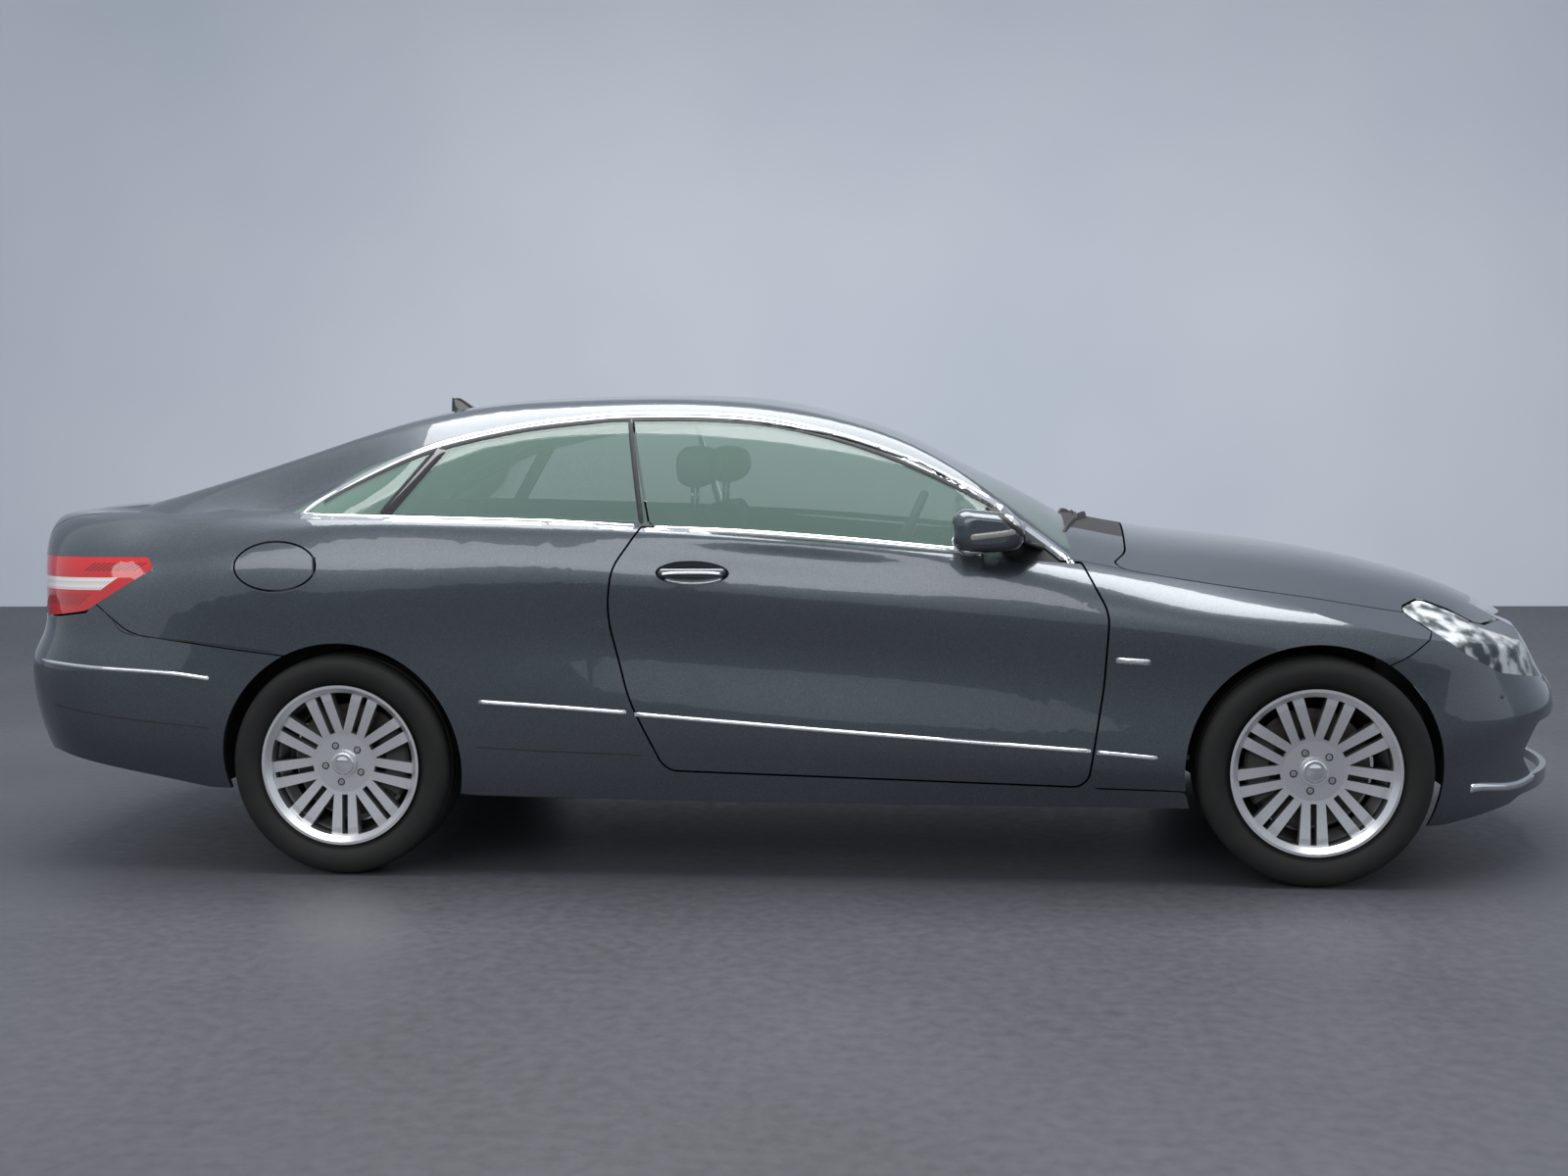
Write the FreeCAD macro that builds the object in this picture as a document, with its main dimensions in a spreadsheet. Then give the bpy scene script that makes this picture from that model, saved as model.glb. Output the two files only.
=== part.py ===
import FreeCAD, Part
import Sketcher
import math
import os
import re

# A two-door, four-seat coupe. X points forward, Y to its left and Z up. The origin lies on the ground
# under the middle of its length. All sizes are in millimetres.

doc = FreeCAD.newDocument("coupe")
V = FreeCAD.Vector

# Driving dimensions
sizes = {
    # whole car
    "car_length": 4698,
    "car_width": 1786,
    "car_height": 1397,
    "wheelbase": 2760,
    "front_overhang": 842,
    "track_front": 1538,
    "track_rear": 1544,
    # panels
    "skin": 18,
    "bonnet_thickness": 26,
    "boot_thickness": 32,
    "roof_thickness": 38,
    "door_thickness": 150,
    "glass_thickness": 5,
    "lens_thickness": 4,
    "panel_gap": 4,
    "moving_gap": 6,
    "seat_gap": 0.3,
    "liner_gap": 0.7,
    "trim_width": 18,
    "glass_inset": 8,
    "overrun": 60,
    # wheels
    "tyre_radius": 321,
    "tyre_width": 235,
    "tyre_tread_half_width": 84,
    "tyre_wall_radius": 262,
    "tyre_shoulder_radius": 304,
    "tyre_shoulder_half_width": 106,
    "rim_width": 214,
    "rim_lip_radius": 233,
    "rim_lip_width": 9,
    "rim_seat_radius": 218,
    "rim_drop_radius": 190,
    "rim_wall": 8,
    "spoke_pairs": 9,
    "pair_hub_width": 61,
    "pair_rim_width": 81,
    "spoke_slot": 17,
    "spoke_depth": 34,
    "dish_depth": 30,
    "dish_fall": 8,
    "hub_radius": 84,
    "hub_cap_radius": 38,
    "hub_cap_height": 9,
    "bolt_circle_radius": 56,
    "bolt_hole_radius": 11,
    "bolt_count": 5,
    "disc_radius": 166,
    "disc_thickness": 28,
    "disc_hat_radius": 80,
    # doors, lids and lamps
    "handle_length": 190,
    "handle_height": 24,
    "handle_stand": 26,
    "mirror_length": 205,
    "mirror_width": 175,
    "mirror_height": 128,
    "mirror_stand": 32,
    "lamp_depth": 60,
    "grille_depth": 24,
    "grille_bar": 12,
    "grille_bars": 4,
    "fuel_flap_length": 240,
    "fuel_flap_height": 134,
    "fuel_flap_thickness": 6,
    "filler_depth": 70,
    "filler_wall": 4,
    "filler_neck_radius": 11,
    "filler_neck_length": 30,
    "flap_pin_radius": 2.5,
    "flap_pin_length": 60,
    "flap_pin_inset": 2.95,
    "flap_pin_depth": 9.5,
    "fin_width": 24,
    # wheel arches and steering
    "arch_radius": 356,
    "liner_radius": 396,
    "liner_thickness": 4,
    "liner_foot": 250,
    "kingpin_offset": 65,
    "kingpin_radius": 12,
    "kingpin_length": 52,
    "running_gap": 0.5,
    "hub_carrier_radius": 45,
    "carrier_thickness": 40,
    "carrier_rise": 105,
    "hub_bore_radius": 33,
    # floor and structure
    "floor_height": 205,
    "floor_thickness": 14,
    "seat_pan_reach": 616,
    "seat_pan_height": 350,
    "tunnel_half_width": 112,
    "tunnel_height": 190,
    "wall_thickness": 14,
    "firewall_x": 905,
    "firewall_half_width": 705,
    "bulkhead_x": 1330,
    "boot_floor_height": 400,
    "boot_half_width": 604,
    "tub_length": 850,
    "tub_top": 900,
    "rail_half_width": 36,
    "rail_height": 96,
    "rail_base": 300,
    "rail_y": 430,
    "inner_wing_top": 760,
    "inner_wing_end": 1750,
    "engine_x": 1410,
    "engine_length": 620,
    "engine_width": 520,
    "engine_height": 480,
    "engine_base": 250,
    "radiator_x": 1900,
    "radiator_width": 760,
    "radiator_height": 400,
    "radiator_depth": 60,
    "arm_base": 215,
    "arm_height": 34,
    "arm_width": 70,
    "strut_y": 560,
    "strut_radius": 26,
    "strut_top": 790,
    "spring_radius": 60,
    "spring_base": 655,
    "axle_beam_height": 80,
    "shaft_radius": 16,
    "exhaust_radius": 30,
    "exhaust_y": 55,
    "exhaust_height": 212,
    "silencer_radius": 95,
    "silencer_length": 620,
    "silencer_distance": 690,
    "tail_pipe_length": 340,
    # cabin
    "seat_width": 500,
    "seat_y": 370,
    "seat_base_width": 380,
    "head_rest_width": 250,
    "rear_seat_width": 1190,
    "shelf_length": 600,
    "dash_half_width": 700,
    "console_width": 200,
    "steering_wheel_radius": 185,
    "steering_rim_radius": 15,
    "steering_hub_radius": 62,
    "steering_hub_depth": 44,
    "steering_spoke_width": 44,
    "steering_spoke_depth": 14,
    "steering_tilt": 24,
    "steering_x": 340,
    "steering_z": 905,
    "column_start": 70,
    "column_length": 528,
    "column_radius": 28,
    "column_shaft_radius": 18,
}
sheet = doc.addObject("Spreadsheet::Sheet", "sizes")
for row, (alias, value) in enumerate(sizes.items(), start=1):
    sheet.set(f"A{row}", alias)
    sheet.set(f"B{row}", str(value))
    sheet.setAlias(f"B{row}", alias)
doc.recompute()


def size(alias):
    """A driving dimension, read from the sheet."""
    return float(getattr(sheet, alias))


half_length = size("car_length") / 2
half_width = size("car_width") / 2
car_height = size("car_height")
front_axle_x = half_length - size("front_overhang")
rear_axle_x = front_axle_x - size("wheelbase")
overrun = size("overrun")
panel_gap, moving_gap, seat_gap = size("panel_gap"), size("moving_gap"), size("seat_gap")
nodes = []


# Lines along the car
def station_x(station):
    """Where a station lies: 0 is the rear axle, 1 the front axle, -1 the tail and 2 the nose."""
    if station > 1:
        return front_axle_x + (station - 1) * (half_length - front_axle_x)
    if station < 0:
        return rear_axle_x + station * (half_length + rear_axle_x)
    return rear_axle_x + station * (front_axle_x - rear_axle_x)


def along(table, x, column=1):
    """The value of a table of shares at a place along the car, on a smooth curve through its rows."""
    xs = [station_x(row[0]) for row in table]
    values = [row[column] for row in table]
    if x <= xs[0]:
        return values[0]
    if x >= xs[-1]:
        return values[-1]
    i = max(k for k in range(len(xs) - 1) if xs[k] <= x)
    slopes = [(values[k + 1] - values[k]) / (xs[k + 1] - xs[k]) for k in range(len(xs) - 1)]

    def tangent(k):
        if k == 0:
            return slopes[0]
        if k == len(xs) - 1:
            return slopes[-1]
        before, after = xs[k] - xs[k - 1], xs[k + 1] - xs[k]
        return (slopes[k - 1] * after + slopes[k] * before) / (before + after)

    span = xs[i + 1] - xs[i]
    t = (x - xs[i]) / span
    return (
        (1 + 2 * t) * (1 - t) ** 2 * values[i]
        + t * (1 - t) ** 2 * span * tangent(i)
        + t * t * (3 - 2 * t) * values[i + 1]
        + t * t * (t - 1) * span * tangent(i + 1)
    )


# The lower body is a smooth barrel through rings that follow the car's lines all the way round.
# A ring gives heights and half widths at stations, and how far it reaches to the nose and the tail.
ring_shares = [
    dict(  # under the sills
        heights=[(-1, 0.093), (2, 0.093)],
        widths=[(-0.544, 0.862), (0, 0.885), (0.454, 0.896), (1, 0.885)],
        reach=(0.949, 0.937),
    ),
    dict(  # sill flank
        heights=[(-1, 0.236), (-0.544, 0.208), (0, 0.179), (0.142, 0.161), (0.864, 0.152),
                 (1, 0.147), (1.48, 0.143), (2, 0.168)],
        widths=[(-0.544, 0.929), (0, 0.952), (0.142, 0.938), (0.454, 0.935), (0.864, 0.943), (1, 0.961)],
        reach=(0.994, 0.979),
    ),
    dict(  # foot of the doors
        heights=[(-1, 0.315), (-0.544, 0.286), (0, 0.279), (0.142, 0.236), (0.454, 0.222),
                 (0.864, 0.204), (1, 0.215), (2, 0.236)],
        widths=[(-0.544, 0.972), (0, 0.985), (0.142, 0.97), (0.454, 0.965), (0.864, 0.972), (1, 0.988)],
        reach=(0.989, 0.992),
    ),
    dict(  # ridge that carries the lower trim strip
        heights=[(-1, 0.429), (-0.664, 0.419), (-0.384, 0.398), (0.151, 0.365), (0.468, 0.322),
                 (0.667, 0.291), (0.842, 0.261), (1, 0.286), (2, 0.315)],
        widths=[(-0.544, 0.981), (0, 0.992), (0.151, 0.99), (0.454, 0.988), (0.842, 0.99), (1, 0.992)],
        reach=(1, 1),
    ),
    dict(  # hollow of the waist
        heights=[(-1, 0.501), (0, 0.494), (0.142, 0.494), (0.454, 0.458), (0.667, 0.422),
                 (0.842, 0.394), (1, 0.401), (2, 0.39)],
        widths=[(-0.544, 0.97), (0, 0.994), (0.142, 0.988), (0.309, 0.976), (0.454, 0.972),
                (0.667, 0.974), (0.842, 0.981), (1, 0.99)],
        reach=(0.979, 0.981),
    ),
    dict(  # character line
        heights=[(-1, 0.616), (-0.544, 0.623), (-0.18, 0.634), (0.073, 0.637), (0.207, 0.634),
                 (0.309, 0.624), (0.569, 0.583), (0.706, 0.554), (0.861, 0.525), (0.937, 0.507),
                 (1.397, 0.487), (2, 0.465)],
        widths=[(-0.544, 0.952), (-0.18, 0.985), (0.073, 0.992), (0.207, 0.988), (0.42, 0.985),
                (0.706, 0.985), (0.937, 0.99), (1, 0.985)],
        reach=(0.951, 0.979),
    ),
    dict(  # shoulder
        heights=[(-1, 0.687), (-0.544, 0.68), (0, 0.698), (0.142, 0.691), (0.309, 0.68), (0.454, 0.662),
                 (0.667, 0.626), (0.78, 0.601), (0.861, 0.573), (1, 0.54), (1.397, 0.523), (2, 0.512)],
        widths=[(-0.544, 0.913), (-0.18, 0.954), (0, 0.961), (0.454, 0.957), (0.667, 0.959),
                (0.78, 0.952), (0.861, 0.943), (1, 0.935)],
        reach=(0.926, 0.981),
    ),
    dict(  # belt
        heights=[(-1, 0.723), (-0.544, 0.73), (-0.113, 0.738), (0.058, 0.735), (0.203, 0.727),
                 (0.322, 0.714), (0.468, 0.691), (0.568, 0.675), (0.653, 0.662), (0.766, 0.636),
                 (0.864, 0.609), (0.961, 0.579), (1.186, 0.548), (1.397, 0.533), (2, 0.531)],
        widths=[(-0.544, 0.834), (-0.18, 0.896), (0, 0.92), (0.203, 0.927), (0.653, 0.927),
                (0.766, 0.885), (0.816, 0.857), (0.864, 0.842), (1, 0.823)],
        reach=(0.909, 0.983),
    ),
    dict(  # edge of the bonnet and of the boot deck
        heights=[(-1, 0.748), (-0.544, 0.752), (-0.113, 0.76), (0.454, 0.719), (0.653, 0.691),
                 (0.766, 0.676), (0.864, 0.648), (0.961, 0.617), (1.186, 0.588), (1.397, 0.573), (2, 0.569)],
        widths=[(-0.544, 0.672), (0.454, 0.717), (1, 0.649)],
        reach=(0.888, 0.975),
    ),
    dict(  # closed over the top, above every panel
        heights=[(-1, 0.823), (2, 0.823)],
        widths=[(-0.544, 0.392), (1, 0.392)],
        reach=(0.809, 0.894),
    ),
]
side_station_shares = [-0.544, -0.36, -0.18, 0, 0.1, 0.24, 0.42, 0.6, 0.76, 0.87, 1]
corner_steps = 6
nose_squareness, tail_squareness = 2.15, 3.4


def ring_points(ring):
    """Points of one ring, from the tail's middle along the right side to the nose's middle and back."""

    def corner(start, end, width, squareness):
        points = []
        for step in range(1, corner_steps + 1):
            angle = math.pi / 2 * step / corner_steps
            c, s = math.cos(angle), math.sin(angle)
            r = (c**squareness + s**squareness) ** (-1 / squareness)
            points.append((start + (end - start) * s * r, width * c * r if step < corner_steps else 0))
        return points

    sides = [station_x(share) for share in side_station_shares]
    plan = [(x, half_width * along(ring["widths"], x)) for x in sides]
    nose = corner(*plan[-1][:1], half_length * ring["reach"][0], plan[-1][1], nose_squareness)
    tail = corner(*plan[0][:1], -half_length * ring["reach"][1], plan[0][1], tail_squareness)
    half = list(reversed(tail)) + plan + nose
    points = [V(x, -y, car_height * along(ring["heights"], x)) for x, y in half]
    return points + [V(p.x, -p.y, p.z) for p in reversed(points[1:-1])]


def normal_at(grid, i, j):
    """The outward unit normal of a grid of closed rings at ring i, point j."""
    count = len(grid[0])
    across = grid[min(i + 1, len(grid) - 1)][j] - grid[max(i - 1, 0)][j]
    along_ring = grid[i][(j + 1) % count] - grid[i][(j - 1) % count]
    return along_ring.cross(across).normalize()


def inset_rings(grid, depth):
    """Rings set inwards by a depth. The end rings stay flat and run past the old ends."""
    moved = []
    for i, ring in enumerate(grid):
        new_ring = []
        for j, point in enumerate(ring):
            normal = normal_at(grid, i, j)
            if i in (0, len(grid) - 1):
                normal = V(normal.x, normal.y, 0).normalize()
                point = point + V(0, 0, overrun if i else -overrun)
            new_ring.append(point - normal * depth)
        moved.append(new_ring)
    return moved


def inset_arches(grid, depth):
    """Arched sections made lower and narrower by a depth, with feet and ends that run past the old ones."""
    moved = []
    for i, arch in enumerate(grid):
        foot, top = arch[0], arch[len(arch) // 2]
        narrow = 1 - depth / max(p.y for p in arch)
        low = 1 - depth / (top.z - foot.z)
        shift = -overrun if i == 0 else overrun if i == len(grid) - 1 else 0
        new_arch = [V(p.x + shift, p.y * narrow, foot.z + (p.z - foot.z) * low) for p in arch]
        for k in (0, -1):
            new_arch[k].z -= overrun
        moved.append(new_arch)
    return moved


def shares_of_run(rows):
    """Shared parameters from 0 to 1 for rows of points, from the mean run between neighbours."""
    runs = [0.0]
    for k in range(1, len(rows[0])):
        runs.append(runs[-1] + sum((row[k] - row[k - 1]).Length for row in rows) / len(rows))
    return [run / runs[-1] for run in runs]


def smooth_surface(grid):
    """A cubic surface through a grid of points, smooth both ways."""

    def through(points, parameters):
        curve = Part.BSplineCurve()
        curve.interpolate(Points=points, Parameters=parameters)
        return curve

    columns = [list(column) for column in zip(*grid)]
    u_shares, v_shares = shares_of_run(columns), shares_of_run(grid)
    rows = [through(row, v_shares) for row in grid]
    poles = [through(list(column), u_shares) for column in zip(*(row.getPoles() for row in rows))]
    surface = Part.BSplineSurface()
    surface.buildFromPolesMultsKnots(
        [list(row) for row in zip(*(column.getPoles() for column in poles))],
        poles[0].getMultiplicities(),
        rows[0].getMultiplicities(),
        poles[0].getKnots(),
        rows[0].getKnots(),
        False,
        False,
        poles[0].Degree,
        rows[0].Degree,
    )
    return surface


def capped(surface, edge_groups):
    """A solid of a surface and flat faces over groups of its edges, each with the lines that close it."""
    face = surface.toShape()
    faces = [face]
    for group in edge_groups(face):
        faces.append(Part.Face(Part.Wire(Part.__sortEdges__(group))))
    shell = Part.makeShell(faces)
    shell.sewShape()
    return Part.makeSolid(shell)


def barrel(depth):
    """The lower body, or its like set inwards by a depth."""
    grid = inset_rings(barrel_grid, depth) if depth else barrel_grid
    surface = smooth_surface([row + row[:1] for row in grid])
    return capped(surface, lambda face: [[edge] for edge in face.Edges if edge.Closed])


barrel_grid = [ring_points(ring) for ring in ring_shares]

# The bonnet and the boot deck: at each station the height of the middle, the height of the edge and the
# half width at that edge. Beyond the edge the deck falls away at one slope.
front_deck_shares = [
    (0.708, 0.737, 0.648, 0.896), (0.766, 0.723, 0.637, 0.885), (0.816, 0.704, 0.623, 0.857),
    (0.864, 0.689, 0.609, 0.842), (0.961, 0.666, 0.579, 0.826), (1.186, 0.636, 0.548, 0.773),
    (1.397, 0.606, 0.528, 0.694), (1.586, 0.572, 0.51, 0.582), (1.71, 0.54, 0.494, 0.448),
    (1.871, 0.494, 0.458, 0.37), (2.2, 0.4, 0.38, 0.3),
]
rear_deck_shares = [
    (-1.1, 0.737, 0.713, 0.717), (-1, 0.75, 0.727, 0.717), (-0.929, 0.756, 0.734, 0.717),
    (-0.804, 0.764, 0.744, 0.717), (-0.658, 0.772, 0.753, 0.717), (-0.408, 0.786, 0.759, 0.717),
    (-0.18, 0.81, 0.79, 0.717), (0.1, 0.87, 0.86, 0.717), (0.5, 0.88, 0.87, 0.717), (1.2, 0.88, 0.87, 0.717),
]
deck_column_shares = [0, 0.35, 0.7, 1]
deck_crown_power, deck_fall_slope, deck_reach_share = 2.2, 0.32, 1.1


def deck(table, drop):
    """All that lies under a deck surface, or under the surface lowered by a drop."""
    grid = []
    for row in table:
        x = station_x(row[0])
        middle, edge = car_height * row[1] - drop, car_height * row[2] - drop
        reach = half_width * row[3]
        half = [(reach * share, middle - (middle - edge) * share**deck_crown_power)
                for share in deck_column_shares]
        for y in ((reach + half_width * deck_reach_share) / 2, half_width * deck_reach_share):
            half.append((y, edge - deck_fall_slope * (y - reach)))
        grid.append([V(x, -y, z) for y, z in reversed(half)] + [V(x, y, z) for y, z in half[1:]])
    return smooth_surface(grid).toShape().extrude(V(0, 0, -car_height))


# The greenhouse: at each station the cant rail's half width and height, the roof edge's half width and
# height, and the height of the middle.
greenhouse_shares = [
    (-0.818, 0.773, 0.709, 0.661, 0.723, 0.73),
    (-0.636, 0.773, 0.737, 0.661, 0.76, 0.777),
    (-0.408, 0.773, 0.748, 0.661, 0.802, 0.841),
    (-0.18, 0.756, 0.777, 0.661, 0.852, 0.895),
    (0.019, 0.733, 0.863, 0.649, 0.913, 0.951),
    (0.128, 0.717, 0.928, 0.633, 0.963, 0.988),
    (0.237, 0.708, 0.951, 0.624, 0.979, 0.999),
    (0.345, 0.705, 0.956, 0.622, 0.981, 1),
    (0.454, 0.711, 0.939, 0.633, 0.963, 0.982),
    (0.526, 0.722, 0.913, 0.655, 0.933, 0.946),
    (0.591, 0.741, 0.873, 0.685, 0.888, 0.9),
    (0.647, 0.765, 0.817, 0.717, 0.827, 0.843),
    (0.708, 0.791, 0.725, 0.748, 0.739, 0.783),
    (0.766, 0.821, 0.639, 0.775, 0.654, 0.719),
    (0.802, 0.831, 0.614, 0.784, 0.624, 0.679),
    (0.845, 0.834, 0.573, 0.784, 0.583, 0.641),
]
greenhouse_foot_share = 0.45
glass_bulge_shares = [(-0.4, 0), (0.1, 0.035), (0.65, 0.035), (0.8, 0)]
roof_column_shares, roof_crown_power = [0.84, 0.56, 0.28], 2.2
belt_ring = ring_shares[7]


def greenhouse_row(row):
    """One section of the greenhouse, from its right foot over the roof to its left foot."""
    x = station_x(row[0])
    cant = V(x, half_width * row[1], car_height * row[2])
    edge = V(x, half_width * row[3], car_height * row[4])
    middle = V(x, 0, car_height * row[5])
    belt_y = half_width * along(belt_ring["widths"], x) - size("glass_inset")
    belt_z = min(car_height * along(belt_ring["heights"], x), cant.z - size("trim_width"))
    belt = V(x, belt_y, belt_z)
    foot = V(x, belt_y + size("glass_inset"), car_height * greenhouse_foot_share)
    run = cant - belt
    bulge = V(0, run.z, -run.y) * along(glass_bulge_shares, x)
    crown = [V(x, edge.y * share, middle.z - (middle.z - edge.z) * share**roof_crown_power)
             for share in roof_column_shares]
    half = [foot, belt, (belt + cant) * 0.5 + bulge, cant, edge] + crown
    return [V(x, -p.y, p.z) for p in half] + [middle] + [V(x, p.y, p.z) for p in reversed(half)]


greenhouse_grid = [greenhouse_row(row) for row in greenhouse_shares]


def greenhouse(depth):
    """The upper body, or its like set inwards by a depth."""
    grid = inset_arches(greenhouse_grid, depth) if depth else greenhouse_grid
    surface = smooth_surface(grid)

    def edge_groups(face):
        def corner(row, column):
            return grid[row][column]

        def between(a, b):
            return Part.makeLine(a, b)

        ends = {}
        for name, row in (("rear", 0), ("front", -1)):
            curve = next(edge for edge in face.Edges
                         if abs(edge.CenterOfMass.x - corner(row, 0).x) < overrun / 2
                         and edge.BoundBox.XLength < overrun)
            ends[name] = [curve, between(corner(row, 0), corner(row, -1))]
        feet = [edge for edge in face.Edges if edge.BoundBox.XLength > overrun]
        return [ends["rear"], ends["front"], feet + [ends["rear"][1], ends["front"][1]]]

    return capped(surface, edge_groups)


# Outlines
def rounded(corners, grow=0):
    """A closed outline in its own plane through corners (a, b, radius), grown outwards by a distance."""
    points = [V(a, b, 0) for a, b, radius in corners]
    count = len(points)
    turn = sum(points[k].cross(points[(k + 1) % count]).z for k in range(count))
    outwards = 1 if turn > 0 else -1
    edges = []
    for k in range(count):
        run = (points[(k + 1) % count] - points[k]).normalize()
        edges.append((points[k] + V(run.y, -run.x, 0) * (outwards * grow), run))
    moved = []
    for k in range(count):
        (a, u), (b, w) = edges[k - 1], edges[k]
        cross = u.cross(w).z
        moved.append(a + u * ((b - a).cross(w).z / cross) if abs(cross) > 1e-6 else b)
    pieces, ends = [], []
    for k in range(count):
        before, here, after = moved[k - 1], moved[k], moved[(k + 1) % count]
        u, w = (here - before).normalize(), (after - here).normalize()
        cross = u.cross(w).z
        radius = corners[k][2] + grow * (1 if cross * outwards > 0 else -1)
        half = math.atan2(abs(cross), u.dot(w)) / 2
        room = min((here - before).Length, (after - here).Length) / 2
        reach = min(max(radius, 0) * math.tan(half), room)
        if reach < seat_gap or half < 1e-3:
            ends.append((here, here))
            continue
        radius = reach / math.tan(half)
        start, end = here - u * reach, here + w * reach
        middle = here + (w - u).normalize() * (radius / math.cos(half) - radius)
        pieces.append((k, Part.Arc(start, middle, end).toShape()))
        ends.append((start, end))
    arcs = dict(pieces)
    outline = []
    for k in range(count):
        if k in arcs:
            outline.append(arcs[k])
        start, end = ends[k][1], ends[(k + 1) % count][0]
        if (end - start).Length > 1e-3:
            outline.append(Part.makeLine(start, end))
    return Part.Wire(outline)


def mirrored_corners(corners):
    """The corners of a half outline with those of its other half, across the car's middle."""
    other = [(a, -b, radius) for a, b, radius in reversed(corners) if b]
    return list(corners) + other


def prism(corners, grow, rotation, start, run):
    """A prism over an outline, drawn in a plane turned by rotation and moved to start."""
    wire = rounded(corners, grow)
    wire.Placement = FreeCAD.Placement(start, rotation)
    return Part.Face(wire).extrude(run)


side_view = FreeCAD.Rotation(V(1, 0, 0), V(0, 0, 1), V(0, -1, 0), "XZY")
rear_view = FreeCAD.Rotation(V(0, 1, 0), V(0, 0, 1), V(1, 0, 0), "XZY")
plan_view = FreeCAD.Rotation()


def side_prism(shares, grow=0, inner_y=0):
    """A prism over a side view outline on the right of the car, from outside it in to inner_y."""
    corners = [(station_x(s), car_height * b, car_height * r) for s, b, r in shares]
    outer_y = half_width + overrun
    return prism(corners, grow, side_view, V(0, -outer_y, 0), V(0, outer_y - inner_y, 0))


def plan_prism(shares, grow=0):
    """A prism over a plan view outline given for the right half."""
    corners = [(station_x(s), half_width * b, car_height * r) for s, b, r in shares]
    return prism(mirrored_corners(corners), grow, plan_view, V(0, 0, 0), V(0, 0, car_height + overrun))


def rear_prism(shares, start_x, end_x, grow=0):
    """A prism over a rear view outline given for the right half, from start_x to end_x."""
    corners = [(half_width * a, car_height * b, car_height * r) for a, b, r in shares]
    other = [(-a, b, radius) for a, b, radius in reversed(corners) if a]
    return prism(list(corners) + other, grow, rear_view, V(start_x, 0, 0), V(end_x - start_x, 0, 0))


def add_shape(label, shape):
    """A sub-part whose shape is made in code."""
    item = doc.addObject("Part::Feature", label)
    item.Label = label
    solids = shape.Solids
    item.Shape = solids[0] if len(solids) == 1 else Part.makeCompound(solids)
    nodes.append(item)
    return item


def mirrored(label, source):
    """The left-hand counterpart of a right-hand piece."""
    item = doc.addObject("Part::Mirroring", label)
    item.Label = label
    item.Source = source
    item.Normal = V(0, 1, 0)
    return item


def add_mirrored(label, source):
    nodes.append(mirrored(label, source))


def both_sides(name, shape):
    """A right-hand sub-part and its mirror image."""
    add_mirrored(name + "_left", add_shape(name + "_right", shape))


def mirror_y(shape):
    return shape.mirror(V(0, 0, 0), V(0, 1, 0))


def on_both_sides(shape):
    return [shape, mirror_y(shape)]


def common(*shapes):
    result = shapes[0]
    for shape in shapes[1:]:
        result = result.common(shape)
    return result


# Outlines of the panels, as shares of the stations and the car's height, with a radius at each corner
door_shares = [
    (0.321, 0.717, 0.006), (0.77, 0.639, 0.006), (0.795, 0.544, 0.086), (0.79, 0.401, 0.429),
    (0.774, 0.198, 0.032), (0.345, 0.225, 0.043), (0.309, 0.372, 0.358), (0.287, 0.544, 0.286),
    (0.293, 0.637, 0.107),
]
window_shares = [
    (-0.203, 0.737, 0.01), (0.005, 0.852, 0.358), (0.103, 0.922, 0.859), (0.237, 0.955, 1.79),
    (0.382, 0.957, 1.79), (0.508, 0.924, 1.074), (0.627, 0.845, 1.074), (0.708, 0.728, 1.074),
    (0.774, 0.624, 0.007), (0.766, 0.608, 0.007), (0.327, 0.684, 0.004), (0.325, 0.716, 0.004),
    (0.058, 0.735, 2.863),
]
head_lamp_shares = [
    (1.319, 0.538, 0.007), (1.419, 0.55, 0.043), (1.514, 0.528, 0.107), (1.609, 0.496, 0.143),
    (1.942, 0.429, 0), (1.942, 0.372, 0), (1.643, 0.412, 0.043), (1.513, 0.453, 0.143),
    (1.429, 0.488, 0.043),
]
head_lamp_inner_share = 0.44
front_bumper_shares = [
    (1.158, 0.422, 0.004), (1.297, 0.458, 0.143), (1.403, 0.501, 0.014), (1.455, 0.565, 0.004),
    (2.084, 0.565, 0), (2.084, 0.161, 0), (1.74, 0.154, 0.043), (1.692, 0.14, 0.029),
    (1.443, 0.115, 0.007), (1.158, 0.115, 0),
]
fender_shares = [
    (0.744, 0.687, 0), (1.467, 0.687, 0), (1.467, 0.422, 0), (1.11, 0.401, 0), (0.925, 0.188, 0),
    (0.773, 0.196, 0), (0.744, 0.429, 0),
]
tail_lamp_shares = [
    (-0.505, 0.639, 0.007), (-0.525, 0.661, 0.011), (-0.755, 0.662, 0.043), (-1.083, 0.662, 0),
    (-1.083, 0.538, 0), (-0.818, 0.537, 0.043), (-0.694, 0.55, 0.043),
]
tail_lamp_split_share, tail_lamp_inner_share = 0.63, 0.42
rear_bumper_shares = [
    (-0.116, 0.454, 0.004), (-0.286, 0.47, 0.215), (-0.569, 0.5, 0.107), (-0.672, 0.567, 0.007),
    (-0.694, 0.545, 0.007), (-0.818, 0.533, 0.043), (-1.083, 0.533, 0), (-1.083, 0.236, 0),
    (-0.821, 0.247, 0.043), (-0.572, 0.205, 0.072), (-0.38, 0.175, 0.029), (-0.225, 0.172, 0),
    (-0.116, 0.215, 0),
]
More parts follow.
